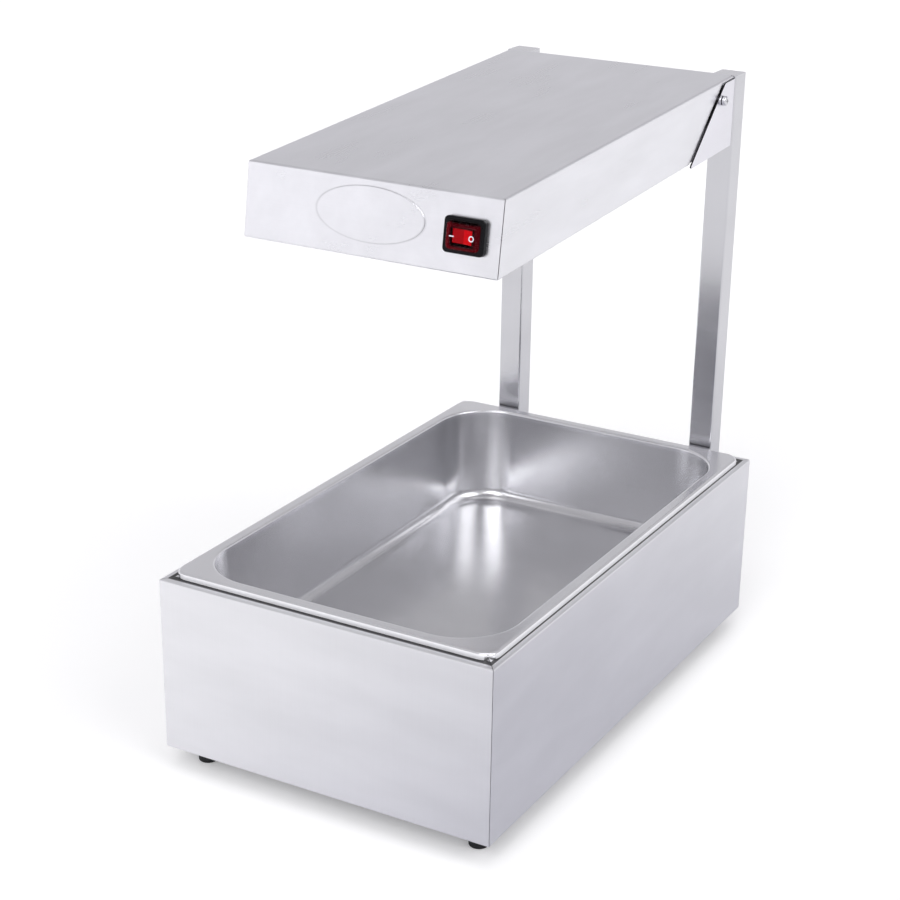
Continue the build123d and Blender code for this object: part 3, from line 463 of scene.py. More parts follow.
@dataclass(frozen=True)
class Moulded(Finish):
    """Moulded rubber, plastic or ceramic: one colour with a fine spark-eroded grain."""

    cell: float = 0.6 * MM
    height: float = 0.03 * MM
    bump: float = 0.4
    mottle: float = 0.06
    broad: float = 20.0  # size of the mottle, in cells
    gloss_range: float = 0.05
    glare: float = 0.5

    def pattern(self, tree: bpy.types.NodeTree, shader: bpy.types.Node) -> None:
        """Grain in the height and the gloss, and a little mottle in the colour."""
        shader.inputs["Specular IOR Level"].default_value = self.glare
        cells = noise(tree, (1 / self.cell,) * 3, 2.0)
        broad = noise(tree, (1 / (self.broad * self.cell),) * 3, 2.0)
        colour = add(tree, "ShaderNodeVectorMath", {0: srgb(self.colour)[:3]},
                     {"Scale": spread(tree, broad, 1 - self.mottle, 1 + self.mottle)}, operation="SCALE")
        rough = spread(tree, cells, self.roughness - self.gloss_range, self.roughness + self.gloss_range)
        bump = add(tree, "ShaderNodeBump", {"Strength": self.bump, "Distance": self.height}, {"Height": cells})
        tree.links.new(colour.outputs[0], shader.inputs["Base Color"])
        tree.links.new(rough, shader.inputs["Roughness"])
        tree.links.new(bump.outputs[0], shader.inputs["Normal"])


@dataclass(frozen=True)
class Clear(Finish):
    """Clear glass or flexible plastic, a little uneven from its moulding or drawing."""

    ior: float = 1.45
    wave: float = 6 * MM
    glare: float = 0.25
    wave_strength: float = 0.1
    wave_height: float = 0.1 * MM
    haze: float = 0.03

    def pattern(self, tree: bpy.types.NodeTree, shader: bpy.types.Node) -> None:
        """Light passes through, bent a little by the uneven wall."""
        shader.inputs["Transmission Weight"].default_value = 1.0
        shader.inputs["IOR"].default_value = self.ior
        shader.inputs["Specular IOR Level"].default_value = self.glare
        waves = noise(tree, (1 / self.wave,) * 3, 1.0)
        bump = add(tree, "ShaderNodeBump", {"Strength": self.wave_strength, "Distance": self.wave_height},
                   {"Height": waves})
        tree.links.new(bump.outputs[0], shader.inputs["Normal"])
        tree.links.new(spread(tree, waves, self.roughness, self.roughness + self.haze), shader.inputs["Roughness"])


@dataclass(frozen=True)
class SplashBoot(Clear):
    """Clear flexible boot with a painted glow in its thick shoulders, for the rocker's light that they carry round."""

    low: tuple[float, float] = (-11.4 * MM, -8.8 * MM)
    high: tuple[float, float] = (11.4 * MM, 6.6 * MM)
    soft: float = 0.9 * MM
    top: float = 9.6 * MM
    glow: str = "#a01426"
    strength: float = 0.09

    def pattern(self, tree: bpy.types.NodeTree, shader: bpy.types.Node) -> None:
        """Painted dark red glow in the shoulders, outside the flat window."""
        super().pattern(tree, shader)
        window = 1.0
        points = split(tree, SWITCH_SPOT.points(tree))
        for source, low, high in zip(points, self.low, self.high):
            middle, half = (low + high) / 2, (high - low) / 2
            away = math_node(tree, "ABSOLUTE", math_node(tree, "SUBTRACT", source, middle))
            window = math_node(tree, "MULTIPLY", window, step_down(tree, away, half - self.soft, half + self.soft))
        # painted light: the shoulders glow red outside the window
        shoulder = math_node(tree, "MULTIPLY", math_node(tree, "SUBTRACT", 1.0, window),
                             step_down(tree, points[1], self.top - self.soft, self.top + self.soft))
        light = add(tree, "ShaderNodeVectorMath", {0: srgb(self.glow)[:3]}, {"Scale": shoulder}, operation="SCALE")
        tree.links.new(light.outputs[0], shader.inputs["Emission Color"])
        shader.inputs["Emission Strength"].default_value = self.strength


@dataclass(frozen=True)
class Glowing(Finish):
    """A piece that gives its own light, such as a hot coil."""

    glow: str = "#ff0000"
    strength: float = 1.0
    cell: float = 3 * MM
    flicker: tuple[float, float] = (0.8, 1.1)

    def pattern(self, tree: bpy.types.NodeTree, shader: bpy.types.Node) -> None:
        """The light varies a little over the piece, as its turns aren't equally hot."""
        cells = noise(tree, (1 / self.cell,) * 3, 1.0)
        glow = add(tree, "ShaderNodeVectorMath", {0: srgb(self.glow)[:3]},
                   {"Scale": spread(tree, cells, *self.flicker)}, operation="SCALE")
        tree.links.new(glow.outputs[0], shader.inputs["Emission Color"])
        shader.inputs["Emission Strength"].default_value = self.strength


@dataclass(frozen=True)
class LitRocker(Finish):
    """Red acrylic rocker: its face is lit through, its skirt and far end stay dark."""

    low: tuple[float, float] = (-11.0 * MM, -6.9 * MM)
    high: tuple[float, float] = (8.2 * MM, 5.0 * MM)
    valley: float = -0.6 * MM
    soft: float = 0.3 * MM
    lens: str = "#7a020e"
    glow: str = "#ff000a"
    dim: float = 0.26
    bright: float = 0.56
    glare: float = 0.1
    face: float = 1.5 * MM  # light is let through above this, out of the fascia
    cell: float = 2.5 * MM
    flicker: tuple[float, float] = (0.9, 1.06)

    def pattern(self, tree: bpy.types.NodeTree, shader: bpy.types.Node) -> None:
        """Window of light on the face, brighter on the half that stands out."""
        shader.inputs["Specular IOR Level"].default_value = self.glare
        points = split(tree, SWITCH_SPOT.points(tree))
        window = 1.0
        for source, low, high in zip(points, self.low, self.high):
            away = math_node(tree, "ABSOLUTE", math_node(tree, "SUBTRACT", source, (low + high) / 2))
            half = (high - low) / 2
            window = math_node(tree, "MULTIPLY", window, step_down(tree, away, half - self.soft, half + self.soft))
        front = math_node(tree, "GREATER_THAN", points[2], self.face)
        window = math_node(tree, "MULTIPLY", window, front)
        ends = {"From Min": self.valley - self.soft, "From Max": self.valley + self.soft,
                "To Min": self.dim, "To Max": self.bright}
        level = add(tree, "ShaderNodeMapRange", ends, {"Value": points[0]})
        cells = spread(tree, noise(tree, (1 / self.cell,) * 3, 1.0), *self.flicker)
        power = math_node(tree, "MULTIPLY", math_node(tree, "MULTIPLY", window, level.outputs["Result"]), cells)
        light = add(tree, "ShaderNodeVectorMath", {0: srgb(self.glow)[:3]}, {"Scale": power}, operation="SCALE")
        body = add(tree, "ShaderNodeMix", {6: srgb(self.colour), 7: srgb(self.lens)}, {"Factor": window},
                   data_type="RGBA")
        tree.links.new(body.outputs[2], shader.inputs["Base Color"])
        tree.links.new(light.outputs[0], shader.inputs["Emission Color"])
        shader.inputs["Emission Strength"].default_value = 1.0


@dataclass(frozen=True)
class Braid(Finish):
    """Glass-braid insulation, drawn as round cells 0.8 mm apart for its crossing threads."""

    thread: float = 0.8 * MM
    tones: tuple[float, float] = (1.05, 0.8)
    relief: float = 0.6
    dip: float = 0.1 * MM

    def pattern(self, tree: bpy.types.NodeTree, shader: bpy.types.Node) -> None:
        """Round cells, darker towards their rims."""
        points = object_points(tree, (1 / self.thread,) * 3)
        cells = add(tree, "ShaderNodeTexVoronoi", {"Scale": 1.0}, {"Vector": points}).outputs["Distance"]
        colour = add(tree, "ShaderNodeVectorMath", {0: srgb(self.colour)[:3]},
                     {"Scale": spread(tree, cells, *self.tones)}, operation="SCALE")
        bump = add(tree, "ShaderNodeBump", {"Strength": self.relief, "Distance": self.dip}, {"Height": cells})
        tree.links.new(colour.outputs[0], shader.inputs["Base Color"])
        tree.links.new(bump.outputs[0], shader.inputs["Normal"])


# the dark band on this sheet's ledge, round the pan's lip, is painted shade
WALL_STEEL = CabinetSteel("stainless sheet, belt brushed upright", "#f1f1f4", 0.34, grain=Grain.ALONG_Z)
# the fine dark line round this sheet's oval is painted shade
HOOD_STEEL = FasciaSteel("stainless sheet, belt brushed lengthwise", "#f1f1f5", 0.30, grain=Grain.ALONG_Y,
                         wipe=(30 * MM, 110 * MM, 30 * MM), wipe_depth=0.09, relief=0.0)
BRACKET_STEEL = BracketSteel("stainless plate, brushed and laser cut", "#edecf2", 0.30, grain=Grain.ALONG_Y)
# darker than the other stainless sheet: painted shade for the dark reflections in the posts
POST_STEEL = BrushedSteel("stainless box section, brushed", "#d4d4d8", 0.18, grain=Grain.ALONG_Z)
PAN_STEEL = DrawnPan("stainless pan, deep drawn", "#f3f3f6", 0.24)
MILL_STEEL = SatinMetal("stainless sheet, as rolled", "#cfcfd2", 0.36)
# painted shade: this dark steel stands for the shadow in the slits at the hood's pivots
SHADED_STEEL = SatinMetal("stainless sheet, painted dark as shade", "#4a484f", 0.45)
REFLECTOR = SatinMetal("aluminium, polished", "#e9e9ec", 0.12, cloud=25 * MM, ripple=0.2 * MM)
BRIGHT_STEEL = SatinMetal("stainless fasteners, bright", "#dcdce0", 0.2, speck=1.0 * MM, cloud=6 * MM)
BLACK_STEEL = SatinMetal("steel pin, blacked", "#141418", 0.45, speck=0.8 * MM, cloud=5 * MM)
SPRING_STEEL = SatinMetal("spring steel, oiled black", "#45454a", 0.3, speck=1.0 * MM, cloud=6 * MM)
RUBBER = Moulded("rubber, moulded black", "#17171a", 0.55)
BLACK_NYLON = Moulded("nylon, moulded black", "#08080c", 0.3, glare=0.15)
CERAMIC = Moulded("ceramic, unglazed", "#e4ded2", 0.7, cell=1.2 * MM, height=0.05 * MM)
BRASS = SatinMetal("brass, nickel plated", "#c9b27c", 0.25, speck=0.8 * MM, cloud=5 * MM)
BOOT = SplashBoot("flexible plastic, clear", "#e8d4d8", 0.02, ior=1.1, glare=0.1)
QUARTZ = Clear("quartz tube", "#fbfbfb", 0.02, ior=1.46)
ROCKER_RED = LitRocker("acrylic, red and lit", "#180205", 0.3)
HOT_COIL = Glowing("resistance coil, hot", "#3a1c10", 0.6, glow="#ff9a3c", strength=1.2)
GLASS_BRAID = Braid("wire, glass braided", "#d8d2c4", 0.7)
WHITE_PRINT = Moulded("paint, pad printed white", "#eceffa", 0.45, cell=0.3 * MM)


def dress(finish: Finish, *names: str) -> None:
    """Gives CAD nodes a finish in place of their plain one.

    Args:
        finish: The finish.
        names: The nodes' names.
    """
    made = finish.material()
    for name in names:
        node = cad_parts[name]
        node.data.materials.clear()
        node.data.materials.append(made)
    log.info("%s: %s", finish.name, ", ".join(names))


# ------------------------------------------------------------------ making pieces
def begin(name: str) -> bpy.types.Object:
    """Opens the primitive that was just added for shaping, with all of it selected.

    Args:
        name: Name of the piece.

    Returns:
        The piece, in edit mode.
    """
    piece = bpy.context.object
    piece.name = name
    bpy.ops.object.mode_set(mode="EDIT")
    bpy.ops.mesh.select_all(action="SELECT")
    return piece


def close(smooth_angle: float = math.radians(35)) -> None:
    """Ends shaping: normals outwards, and soft shading up to an angle.

    Args:
        smooth_angle: Edges sharper than this stay sharp.
    """
    bpy.ops.mesh.select_all(action="SELECT")
    bpy.ops.mesh.normals_make_consistent(inside=False)
    bpy.ops.object.mode_set(mode="OBJECT")
    bpy.ops.object.shade_smooth_by_angle(angle=smooth_angle)


def pick(piece: bpy.types.Object, keep: Iterable[bool]) -> None:
    """Selects faces of the piece that is being shaped.

    Args:
        piece: The piece, in edit mode.
        keep: True for each face that is wanted.
    """
    bpy.ops.mesh.select_all(action="DESELECT")
    bpy.ops.object.mode_set(mode="OBJECT")
    for face, wanted in zip(piece.data.polygons, keep):
        face.select = wanted
    bpy.ops.object.mode_set(mode="EDIT")


def move_mesh(piece: bpy.types.Object, place: Matrix) -> None:
    """Puts a place into the mesh and leaves the object at the origin.

    Args:
        piece: The piece.
        place: Where it goes.
    """
    piece.data.transform(place @ piece.matrix_world)
    piece.matrix_world = Matrix.Identity(4)


def join(name: str, pieces: list[bpy.types.Object]) -> bpy.types.Object:
    """Makes one piece of several.

    Args:
        name: Name of the piece.
        pieces: The parts of it.

    Returns:
        The joined piece.
    """
    bpy.ops.object.select_all(action="DESELECT")
    for piece in pieces:
        piece.select_set(True)
    bpy.context.view_layer.objects.active = pieces[0]
    bpy.ops.object.join()
    pieces[0].name = name
    return pieces[0]


def copies(pattern: bpy.types.Object, places: list[Matrix]) -> list[bpy.types.Object]:
    """Copies a modelled piece to several places, each with its own mesh.

    Args:
        pattern: The piece that is copied; it is used up.
        places: Where the copies go.

    Returns:
        The copies.
    """
    made = []
    for place in places:
        twin = pattern.copy()
        twin.data = pattern.data.copy()
        bpy.context.scene.collection.objects.link(twin)
        move_mesh(twin, place)
        made.append(twin)
    bpy.data.objects.remove(pattern)
    return made


def declare(piece: bpy.types.Object, finish: Finish, body: str) -> None:
    """Dresses a new piece and says what it is and what it moves with.

    Args:
        piece: The piece.
        finish: Its finish.
        body: The body that it rides on.
    """
    piece.data.materials.clear()
    piece.data.materials.append(finish.material())
    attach(piece, body)
    bpy.ops.object.select_all(action="DESELECT")
    log.info("piece %s: %d faces, %s", piece.name, len(piece.data.polygons), finish.name)


# ------------------------------------------------------------------ sub-assemblies
@dataclass
class BaseCabinet:
    """The folded box that holds the pan, with its floor and feet."""

    walls: tuple[str, ...] = ("base_front_panel", "base_rear_panel", "base_left_panel", "base_right_panel")
    fasteners: tuple[str, ...] = ("bottom_panel_screws", "foot_screws", "foot_washers", "foot_nuts")

    def build(self) -> None:
        """Dresses the cabinet's nodes."""
        dress(WALL_STEEL, *self.walls)
        dress(MILL_STEEL, "base_bottom_panel", "base_corner_angles")
        dress(BRIGHT_STEEL, *self.fasteners)
        dress(RUBBER, "rubber_feet")


@dataclass
class FoodPan:
    """The pan that lifts out of the cabinet."""

    def build(self) -> None:
        """Dresses the pan."""
        dress(PAN_STEEL, "food_pan")


@dataclass
class Posts:
    """The two posts with their caps, bolts and brackets."""

    def build(self) -> None:
        """Dresses the posts and all that is fixed to them."""
        dress(POST_STEEL, "left_post", "right_post", "post_top_caps")
        dress(BRACKET_STEEL, "left_bracket", "right_bracket")
        dress(BRIGHT_STEEL, "post_bolts", "post_washers", "post_nuts", "bracket_screws")
        dress(BRIGHT_STEEL, "pivot_bolts", "pivot_washers", "pivot_spacers", "pivot_lock_nuts")
        dress(SPRING_STEEL, "pivot_spring_washers")
        dress(BLACK_NYLON, "post_bottom_plugs")


@dataclass
class Hood:
    """The tilting hood with its lamp unit, wiring and gland."""

    bulkheads: tuple[float, float] = (-391.117 * MM, -104.371 * MM)
    lamp_x: tuple[float, float] = (-38 * MM, 38 * MM)
    lamp_z: float = -18.05 * MM
    cap_length: float = 14.0 * MM
    coil_radius: float = 1.35 * MM
    coil_wire: float = 0.25 * MM
    coil_pitch: float = 3.0 * MM
    coil_sides: int = 6
    coil_steps: int = 12  # per turn
    lead_radius: float = 0.6 * MM
    lead_reach: float = 10.5 * MM
    lead_overlap: float = 1.0 * MM
    weld_x: tuple[float, ...] = tuple(step * 184 / 6 * MM for step in range(-3, 4))
    cross_wires: int = 7
    weld_z: float = -41.8 * MM
    weld_radius: float = 1.7 * MM
    weld_shape: tuple[float, float, float] = (1.0, 0.85, 0.6)
    weld_press: tuple[float, float, float] = (1.15, 1.15, 0.8)
    cap_radius: float = 10.5 * MM
    cap_foot: float = 5.0 * MM
    cap_end: float = 18.0 * MM
    grip_ribs: int = 16
    rib_size: tuple[float, float] = (1.4 * MM, 1.6 * MM)
    rib_share: float = 0.62  # length of a rib, as a share of the cap
    rib_start: float = 0.1
    rib_taper: tuple[float, float, float] = (1.0, 0.5, 0.9)
    seal_radius: float = 5.7 * MM
    seal_thickness: float = 1.2 * MM
    seal_shape: tuple[float, float, float] = (1.0, 1.0, 0.75)
    seal_groove: tuple[float, float] = (0.15 * MM, -0.1 * MM)
    edge_round: float = 0.2 * MM
    backing_sheet: float = 1.1 * MM
    backing_face: float = 121.2 * MM
    backing_width: float = 13.5 * MM
    backing_foot: tuple[float, float] = (-65.0 * MM, -45.4 * MM)
    backing_top: float = -22.1 * MM
    rake: float = math.radians(39.8)

    def build(self) -> None:
        """Dresses the hood's nodes and adds its small pieces."""
        dress(HOOD_STEEL, "hood_shell")
        dress(MILL_STEEL, "hood_rear_panel", "front_bulkhead_tray", "rear_bulkhead_tray")
        # the pivot tabs are dark as painted shade behind the slits
        dress(SHADED_STEEL, "hood_pivot_tabs")
        dress(REFLECTOR, "reflector")
        dress(BRIGHT_STEEL, "wire_guard", "hood_screws")
        dress(QUARTZ, "quartz_tubes")
        dress(CERAMIC, "lamp_end_caps", "lamp_holders", "terminal_block")
        dress(BRASS, "terminal_screws")
        dress(BLACK_NYLON, "cable_gland", "gland_nut")
        dress(GLASS_BRAID, "hood_wiring")
        self.build_coils()
        self.build_welds()
        self.build_gland_grip()
        self.build_gland_seal()
        self.build_slit_backings()

    def build_slit_backings(self) -> None:
        """Dark strips inside the cheeks that close the slits in front of the brackets: painted shade, as dark sheets
        where the slits are in shadow.
        """
        height = self.backing_top - self.backing_foot[1]
        bpy.ops.mesh.primitive_cube_add(size=1)
        shade_strip = begin("shade_strip")
        bpy.ops.transform.resize(value=(self.backing_sheet, self.backing_width, height))
        pick(shade_strip, [face.normal.z > SQUARE_ON for face in shade_strip.data.polygons])
        bpy.ops.transform.translate(value=(0, height / math.tan(self.rake), 0))
        bpy.ops.mesh.select_all(action="SELECT")
        bpy.ops.mesh.bevel(offset=self.edge_round, segments=2)
        close()
        middle = self.backing_foot[1] + height / 2
        places = [HOOD_SPOT.matrix() @ Matrix.Translation((side * (self.backing_face - self.backing_sheet / 2),
                                                           self.backing_foot[0], middle)) for side in (-1, 1)]
        # painted shade: dark sheets behind the slits
        declare(join("slit_backings", copies(shade_strip, places)), SHADED_STEEL, "hood")

    def build_coils(self) -> None:
        """Wound coils with their leads, one in each quartz tube."""
        low, high = self.bulkheads[0] + self.cap_length, self.bulkheads[1] - self.cap_length
        turns = round((high - low) / self.coil_pitch)
        bpy.ops.mesh.primitive_circle_add(vertices=self.coil_sides, radius=self.coil_wire)
        coil = begin("coil")
        bpy.ops.transform.translate(value=(self.coil_radius, 0, 0))
        bpy.ops.object.mode_set(mode="OBJECT")
        wind = coil.modifiers.new("wind", "SCREW")
        wind.axis = "Y"
        wind.angle = 2 * math.pi * turns
        wind.screw_offset = high - low
        wind.steps = wind.render_steps = self.coil_steps * turns
        bpy.ops.object.modifier_apply(modifier=wind.name)
        begin("coil")
        bpy.ops.mesh.fill_holes(sides=self.coil_sides)
        close()
        move_mesh(coil, Matrix.Translation((0, low - min(vertex.co.y for vertex in coil.data.vertices), 0)))
        leads = [self.build_lead(low, -1), self.build_lead(high, 1)]
        pattern = join("lamp_coil", [coil, *leads])
        places = [HOOD_SPOT.matrix() @ Matrix.Translation((x, 0, self.lamp_z)) for x in self.lamp_x]
        coils = join("lamp_coils", copies(pattern, places))
        declare(coils, HOT_COIL, "hood")
        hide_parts("lamp_filaments")

    def build_lead(self, start: float, way: int) -> bpy.types.Object:
        """Straight lead from a coil's end into its holder.

        Args:
            start: Where the coil ends, along the lamp.
            way: 1 to the rear, -1 to the front.

        Returns:
            The lead.
        """
        length = self.cap_length + self.lead_reach
        middle = start + way * (length / 2 - self.lead_overlap)
        bpy.ops.mesh.primitive_cylinder_add(vertices=12, radius=self.lead_radius, depth=length,
                                            location=(0, middle, 0), rotation=(math.radians(90), 0, 0))
        lead = begin("lead")
        bpy.ops.mesh.bevel(offset=self.lead_radius / 3, segments=2)
        close()
        move_mesh(lead, Matrix.Identity(4))
        return lead

    def build_welds(self) -> None:
        """Flattened resistance welds where the guard's wires cross."""
        bpy.ops.mesh.primitive_ico_sphere_add(subdivisions=2, radius=self.weld_radius)
        weld = begin("weld")
        bpy.ops.transform.resize(value=self.weld_shape)
        pick(weld, [abs(face.normal.z) > NEARLY_ON for face in weld.data.polygons])
        bpy.ops.transform.resize(value=self.weld_press)
        close(ROUND_ANGLE)
        pitch = (self.bulkheads[1] - self.bulkheads[0]) / self.cross_wires
        rows = [self.bulkheads[0] + (index + 0.5) * pitch for index in range(self.cross_wires)]
        places = [HOOD_SPOT.matrix() @ Matrix.Translation((x, y, self.weld_z)) for x in self.weld_x for y in rows]
        welds = join("guard_welds", copies(weld, places))
        declare(welds, BRIGHT_STEEL, "hood")

    def build_gland_grip(self) -> None:
        """Moulded ribs round the gland's cap, for the fingers."""
        length = self.rib_share * (self.cap_end - self.cap_foot)
        bpy.ops.mesh.primitive_cube_add(size=1)
        rib = begin("rib")
        bpy.ops.transform.resize(value=(*self.rib_size, length))
        pick(rib, [face.normal.x > SQUARE_ON for face in rib.data.polygons])
        bpy.ops.transform.resize(value=self.rib_taper)
        bpy.ops.mesh.select_all(action="SELECT")
        bpy.ops.mesh.bevel(offset=self.edge_round, segments=3)
        close()
        out = Matrix.Translation((self.cap_radius, 0, self.cap_foot + self.rib_start * length + length / 2))
        places = [GLAND_SPOT.matrix() @ Matrix.Rotation(2 * math.pi * index / self.grip_ribs, 4, "Z") @ out
                  for index in range(self.grip_ribs)]
        grip = join("gland_grip", copies(rib, places))
        declare(grip, BLACK_NYLON, "hood")

    def build_gland_seal(self) -> None:
        """Rubber ring in the gland's mouth, which closes on a cable."""
        bpy.ops.mesh.primitive_torus_add(major_segments=48, minor_segments=12, major_radius=self.seal_radius,
                                         minor_radius=self.seal_thickness, location=(0, 0, self.cap_end))
        seal = begin("gland_seal")
        bpy.ops.transform.resize(value=self.seal_shape)
        pick(seal, [face.normal.z > NEARLY_ON for face in seal.data.polygons])
        bpy.ops.mesh.inset(thickness=self.seal_groove[0], depth=self.seal_groove[1])
        close(ROUND_ANGLE)
        move_mesh(seal, GLAND_SPOT.matrix())
        declare(seal, RUBBER, "hood")


@dataclass
class Switch:
    """The rocker switch under its clear boot, with the two marks printed on the boot."""

    boot_top: float = 8.6 * MM
    print_rise: float = 0.15 * MM
    dash_middle: tuple[float, float] = (-8.9 * MM, -0.8 * MM)
    dash_size: tuple[float, float] = (4.4 * MM, 0.95 * MM)
    dash_round: float = 0.12 * MM
    ring_middle: tuple[float, float] = (9.1 * MM, -0.8 * MM)
    ring_radius: float = 2.0 * MM
    ring_stroke: float = 0.42 * MM

    def build(self) -> None:
        """Dresses the switch's nodes and prints its marks."""
        dress(BLACK_NYLON, "switch_frame", "switch_body")
        dress(BOOT, "switch_boot")
        dress(BLACK_STEEL, "switch_pin")
        dress(BRASS, "switch_blades")
        dress(ROCKER_RED, "switch_rocker")
        self.build_dash()
        self.build_ring()

    def build_dash(self) -> None:
        """Mark for ON: a rounded bar of thick print."""
        bpy.ops.mesh.primitive_cube_add(size=1)
        dash = begin("mark_on")
        bpy.ops.transform.resize(value=(*self.dash_size, 2 * self.print_rise))
        bpy.ops.mesh.bevel(offset=self.dash_round, segments=3)
        close()
        move_mesh(dash, SWITCH_SPOT.matrix() @ Matrix.Translation((*self.dash_middle, self.boot_top)))
        declare(dash, WHITE_PRINT, "hood")

    def build_ring(self) -> None:
        """Mark for OFF: a ring of thick print."""
        bpy.ops.mesh.primitive_torus_add(major_segments=48, minor_segments=10, major_radius=self.ring_radius,
                                         minor_radius=self.ring_stroke)
        ring = begin("mark_off")
        bpy.ops.transform.resize(value=(1.0, 1.0, self.print_rise / self.ring_stroke))
        close(ROUND_ANGLE)
        move_mesh(ring, SWITCH_SPOT.matrix() @ Matrix.Translation((*self.ring_middle, self.boot_top)))
        declare(ring, WHITE_PRINT, "hood")


# ------------------------------------------------------------------ studio
@dataclass(frozen=True)
class Viewpoint:
    """Where the camera stands and how it looks."""

    place: tuple[float, float, float] = (0.86565, -1.58684, 0.95759)
    turn: float = 0.51300
    dip: float = -0.41451
    roll: float = 0.01492
    focal: float = 2053.1
    middle_row: float = 540.0

    def build(self) -> None:
        """Makes the camera and sets it as the scene's."""
        ahead = Vector((-math.sin(self.turn) * math.cos(self.dip), math.cos(self.turn) * math.cos(self.dip),
                        math.sin(self.dip)))
        right = Vector((math.cos(self.turn), math.sin(self.turn), 0))
        up = right.cross(ahead)
        side = math.cos(self.roll) * right + math.sin(self.roll) * up
        rise = math.cos(self.roll) * up - math.sin(self.roll) * right
        lens = bpy.data.cameras.new("camera")
        lens.lens = self.focal / IMAGE_SIDE * lens.sensor_width
        lens.shift_y = self.middle_row / IMAGE_SIDE - 0.5
        camera = bpy.data.objects.new("camera", lens)
        axes = Matrix((side, rise, -ahead)).transposed().to_4x4()
        camera.matrix_world = Matrix.Translation(self.place) @ axes
        bpy.context.scene.collection.objects.link(camera)
        bpy.context.scene.camera = camera


@dataclass(frozen=True)
class Lamp:
    """A distant soft lamp."""

    name: str
    power: float
    tilt: float = 0.0  # degrees from straight above
    side: float = 0.0  # degrees round from the front to the right
    angle: float = 38.0

    def build(self) -> None:
        """Makes the lamp."""
        light = bpy.data.lights.new(self.name, "SUN")
        light.angle = math.radians(self.angle)
        light.energy = self.power
        lamp = bpy.data.objects.new(self.name, light)
        lamp.rotation_euler = (math.radians(self.tilt), 0, math.radians(self.side))
        bpy.context.scene.collection.objects.link(lamp)


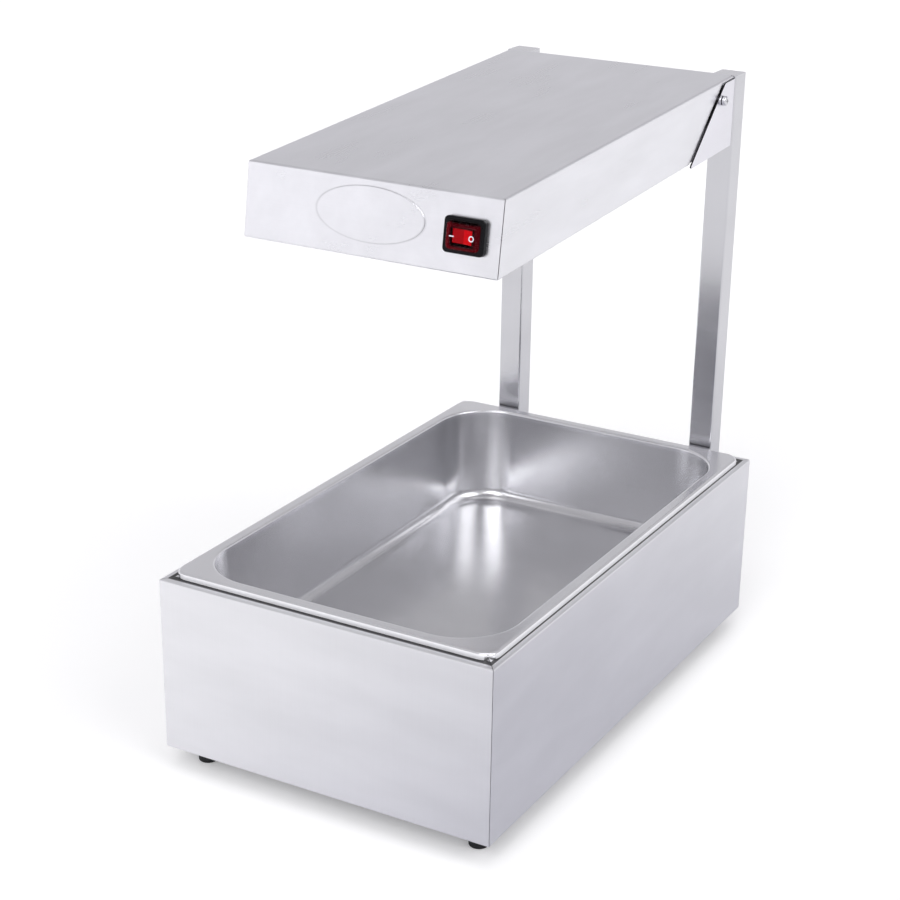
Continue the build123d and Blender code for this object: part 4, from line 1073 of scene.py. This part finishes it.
@dataclass(frozen=True)
class Studio:
    """White floor and horizon under a greyer ceiling, with soft lamps above and a soft box at the front left."""

    floor_side: float = 80.0
    floor_colour: str = "#f4f4f4"
    floor_glow: float = 0.18
    shade_colour: str = "#c4c4ca"
    shade_place: tuple[float, float, float] = (0.30, -0.20, 0.0)
    shade_reach: tuple[float, float, float] = (0.72, 1.60, 1.0)
    horizon: float = 0.86
    air_colour: str = "#fcfbff"
    ceiling: float = 0.55
    soft_box: tuple[float, float, float] = (-0.68, -0.73, 0.0)
    soft_box_power: float = 0.60
    soft_box_edge: tuple[float, float] = (0.95, 0.99)
    sky_edge: tuple[float, float] = (0.12, 0.4)  # heights between which the horizon turns to ceiling
    backdrop: float = 1.05  # least strength that the camera sees behind the object
    glossy_share: float = 0.4  # share of the floor's glow that metal sees
    lamps: tuple[Lamp, ...] = (Lamp("lamp above", 0.3), Lamp("lamp in front", 1.05, tilt=50, side=12),
                               Lamp("lamp at the right", 0.6, tilt=50, side=80))

    def build(self) -> None:
        """Makes the floor, the world and the lamps."""
        self.build_floor()
        self.build_world()
        self.build_lamps()

    def build_floor(self) -> None:
        """A floor that looks white and keeps the object's shadow.

        Metal sees it shaded beside the cabinet's right wall, as by a grey card.
        """
        bpy.ops.mesh.primitive_plane_add(size=self.floor_side, location=(0, 0, 0))
        floor = bpy.context.object
        floor.name = "floor"
        made = bpy.data.materials.new("paper sweep, matt white")
        made.use_nodes = True
        tree = made.node_tree
        tree.nodes.clear()
        path = add(tree, "ShaderNodeLightPath")
        place = add(tree, "ShaderNodeTexCoord")
        away = add(tree, "ShaderNodeVectorMath", {1: self.shade_place}, {0: place.outputs["Object"]},
                   operation="SUBTRACT")
        away = add(tree, "ShaderNodeVectorMath", {1: self.shade_reach}, {0: away.outputs[0]}, operation="DIVIDE")
        away = add(tree, "ShaderNodeVectorMath", links={0: away.outputs[0]}, operation="LENGTH")
        shade = step_down(tree, away.outputs["Value"], 0.0, 1.0)
        shade = math_node(tree, "MULTIPLY", shade, path.outputs["Is Glossy Ray"])
        tone = add(tree, "ShaderNodeMix", {6: srgb(self.floor_colour), 7: srgb(self.shade_colour)},
                   {"Factor": shade}, data_type="RGBA")
        paper = add(tree, "ShaderNodeBsdfDiffuse", links={"Color": tone.outputs[2]})
        seen = math_node(tree, "ADD", path.outputs["Is Camera Ray"], path.outputs["Is Transmission Ray"])
        glossy = math_node(tree, "SUBTRACT", path.outputs["Is Glossy Ray"], shade)
        seen = math_node(tree, "MAXIMUM", seen, math_node(tree, "MULTIPLY", glossy, self.glossy_share))
        power = math_node(tree, "MULTIPLY", seen, self.floor_glow)
        glow = add(tree, "ShaderNodeEmission", links={"Strength": power})
        both = add(tree, "ShaderNodeAddShader", links={0: paper.outputs[0], 1: glow.outputs[0]})
        add(tree, "ShaderNodeOutputMaterial", links={"Surface": both.outputs[0]})
        floor.data.materials.append(made)

    def build_world(self) -> None:
        """White at the horizon, greyer overhead."""
        world = bpy.data.worlds.new("studio air")
        world.use_nodes = True
        tree = world.node_tree
        tree.nodes.clear()
        place = add(tree, "ShaderNodeTexCoord")
        parts = add(tree, "ShaderNodeSeparateXYZ", links={0: place.outputs["Generated"]})
        heights = {"From Min": self.sky_edge[0], "From Max": self.sky_edge[1],
                   "To Min": self.horizon, "To Max": self.ceiling}
        level = add(tree, "ShaderNodeMapRange", heights, {"Value": parts.outputs["Z"]})
        facing = add(tree, "ShaderNodeVectorMath", {1: self.soft_box}, {0: place.outputs["Generated"]},
                     operation="DOT_PRODUCT")
        edges = {"From Min": self.soft_box_edge[0], "From Max": self.soft_box_edge[1],
                 "To Min": 0.0, "To Max": self.soft_box_power}
        box = add(tree, "ShaderNodeMapRange", edges, {"Value": facing.outputs["Value"]},
                  interpolation_type="SMOOTHSTEP")
        path = add(tree, "ShaderNodeLightPath")
        seen = math_node(tree, "ADD", path.outputs["Is Camera Ray"], path.outputs["Is Transmission Ray"])
        power = math_node(tree, "ADD", level.outputs["Result"], box.outputs["Result"])
        power = math_node(tree, "MAXIMUM", power, math_node(tree, "MULTIPLY", seen, self.backdrop))
        air = add(tree, "ShaderNodeBackground", {"Color": srgb(self.air_colour)}, {"Strength": power})
        add(tree, "ShaderNodeOutputWorld", links={"Surface": air.outputs[0]})
        bpy.context.scene.world = world

    def build_lamps(self) -> None:
        """The soft lamps."""
        for lamp in self.lamps:
            lamp.build()


def main() -> None:
    """Builds the studio and every sub-assembly, in order."""
    bpy.ops.object.select_all(action="DESELECT")
    bpy.context.scene.view_settings.view_transform = "Standard"
    for part in (Viewpoint(), Studio(), BaseCabinet(), FoodPan(), Posts(), Hood(), Switch()):
        part.build()
        log.info("built %s", type(part).__name__)


if __name__ == "__main__":
    main()
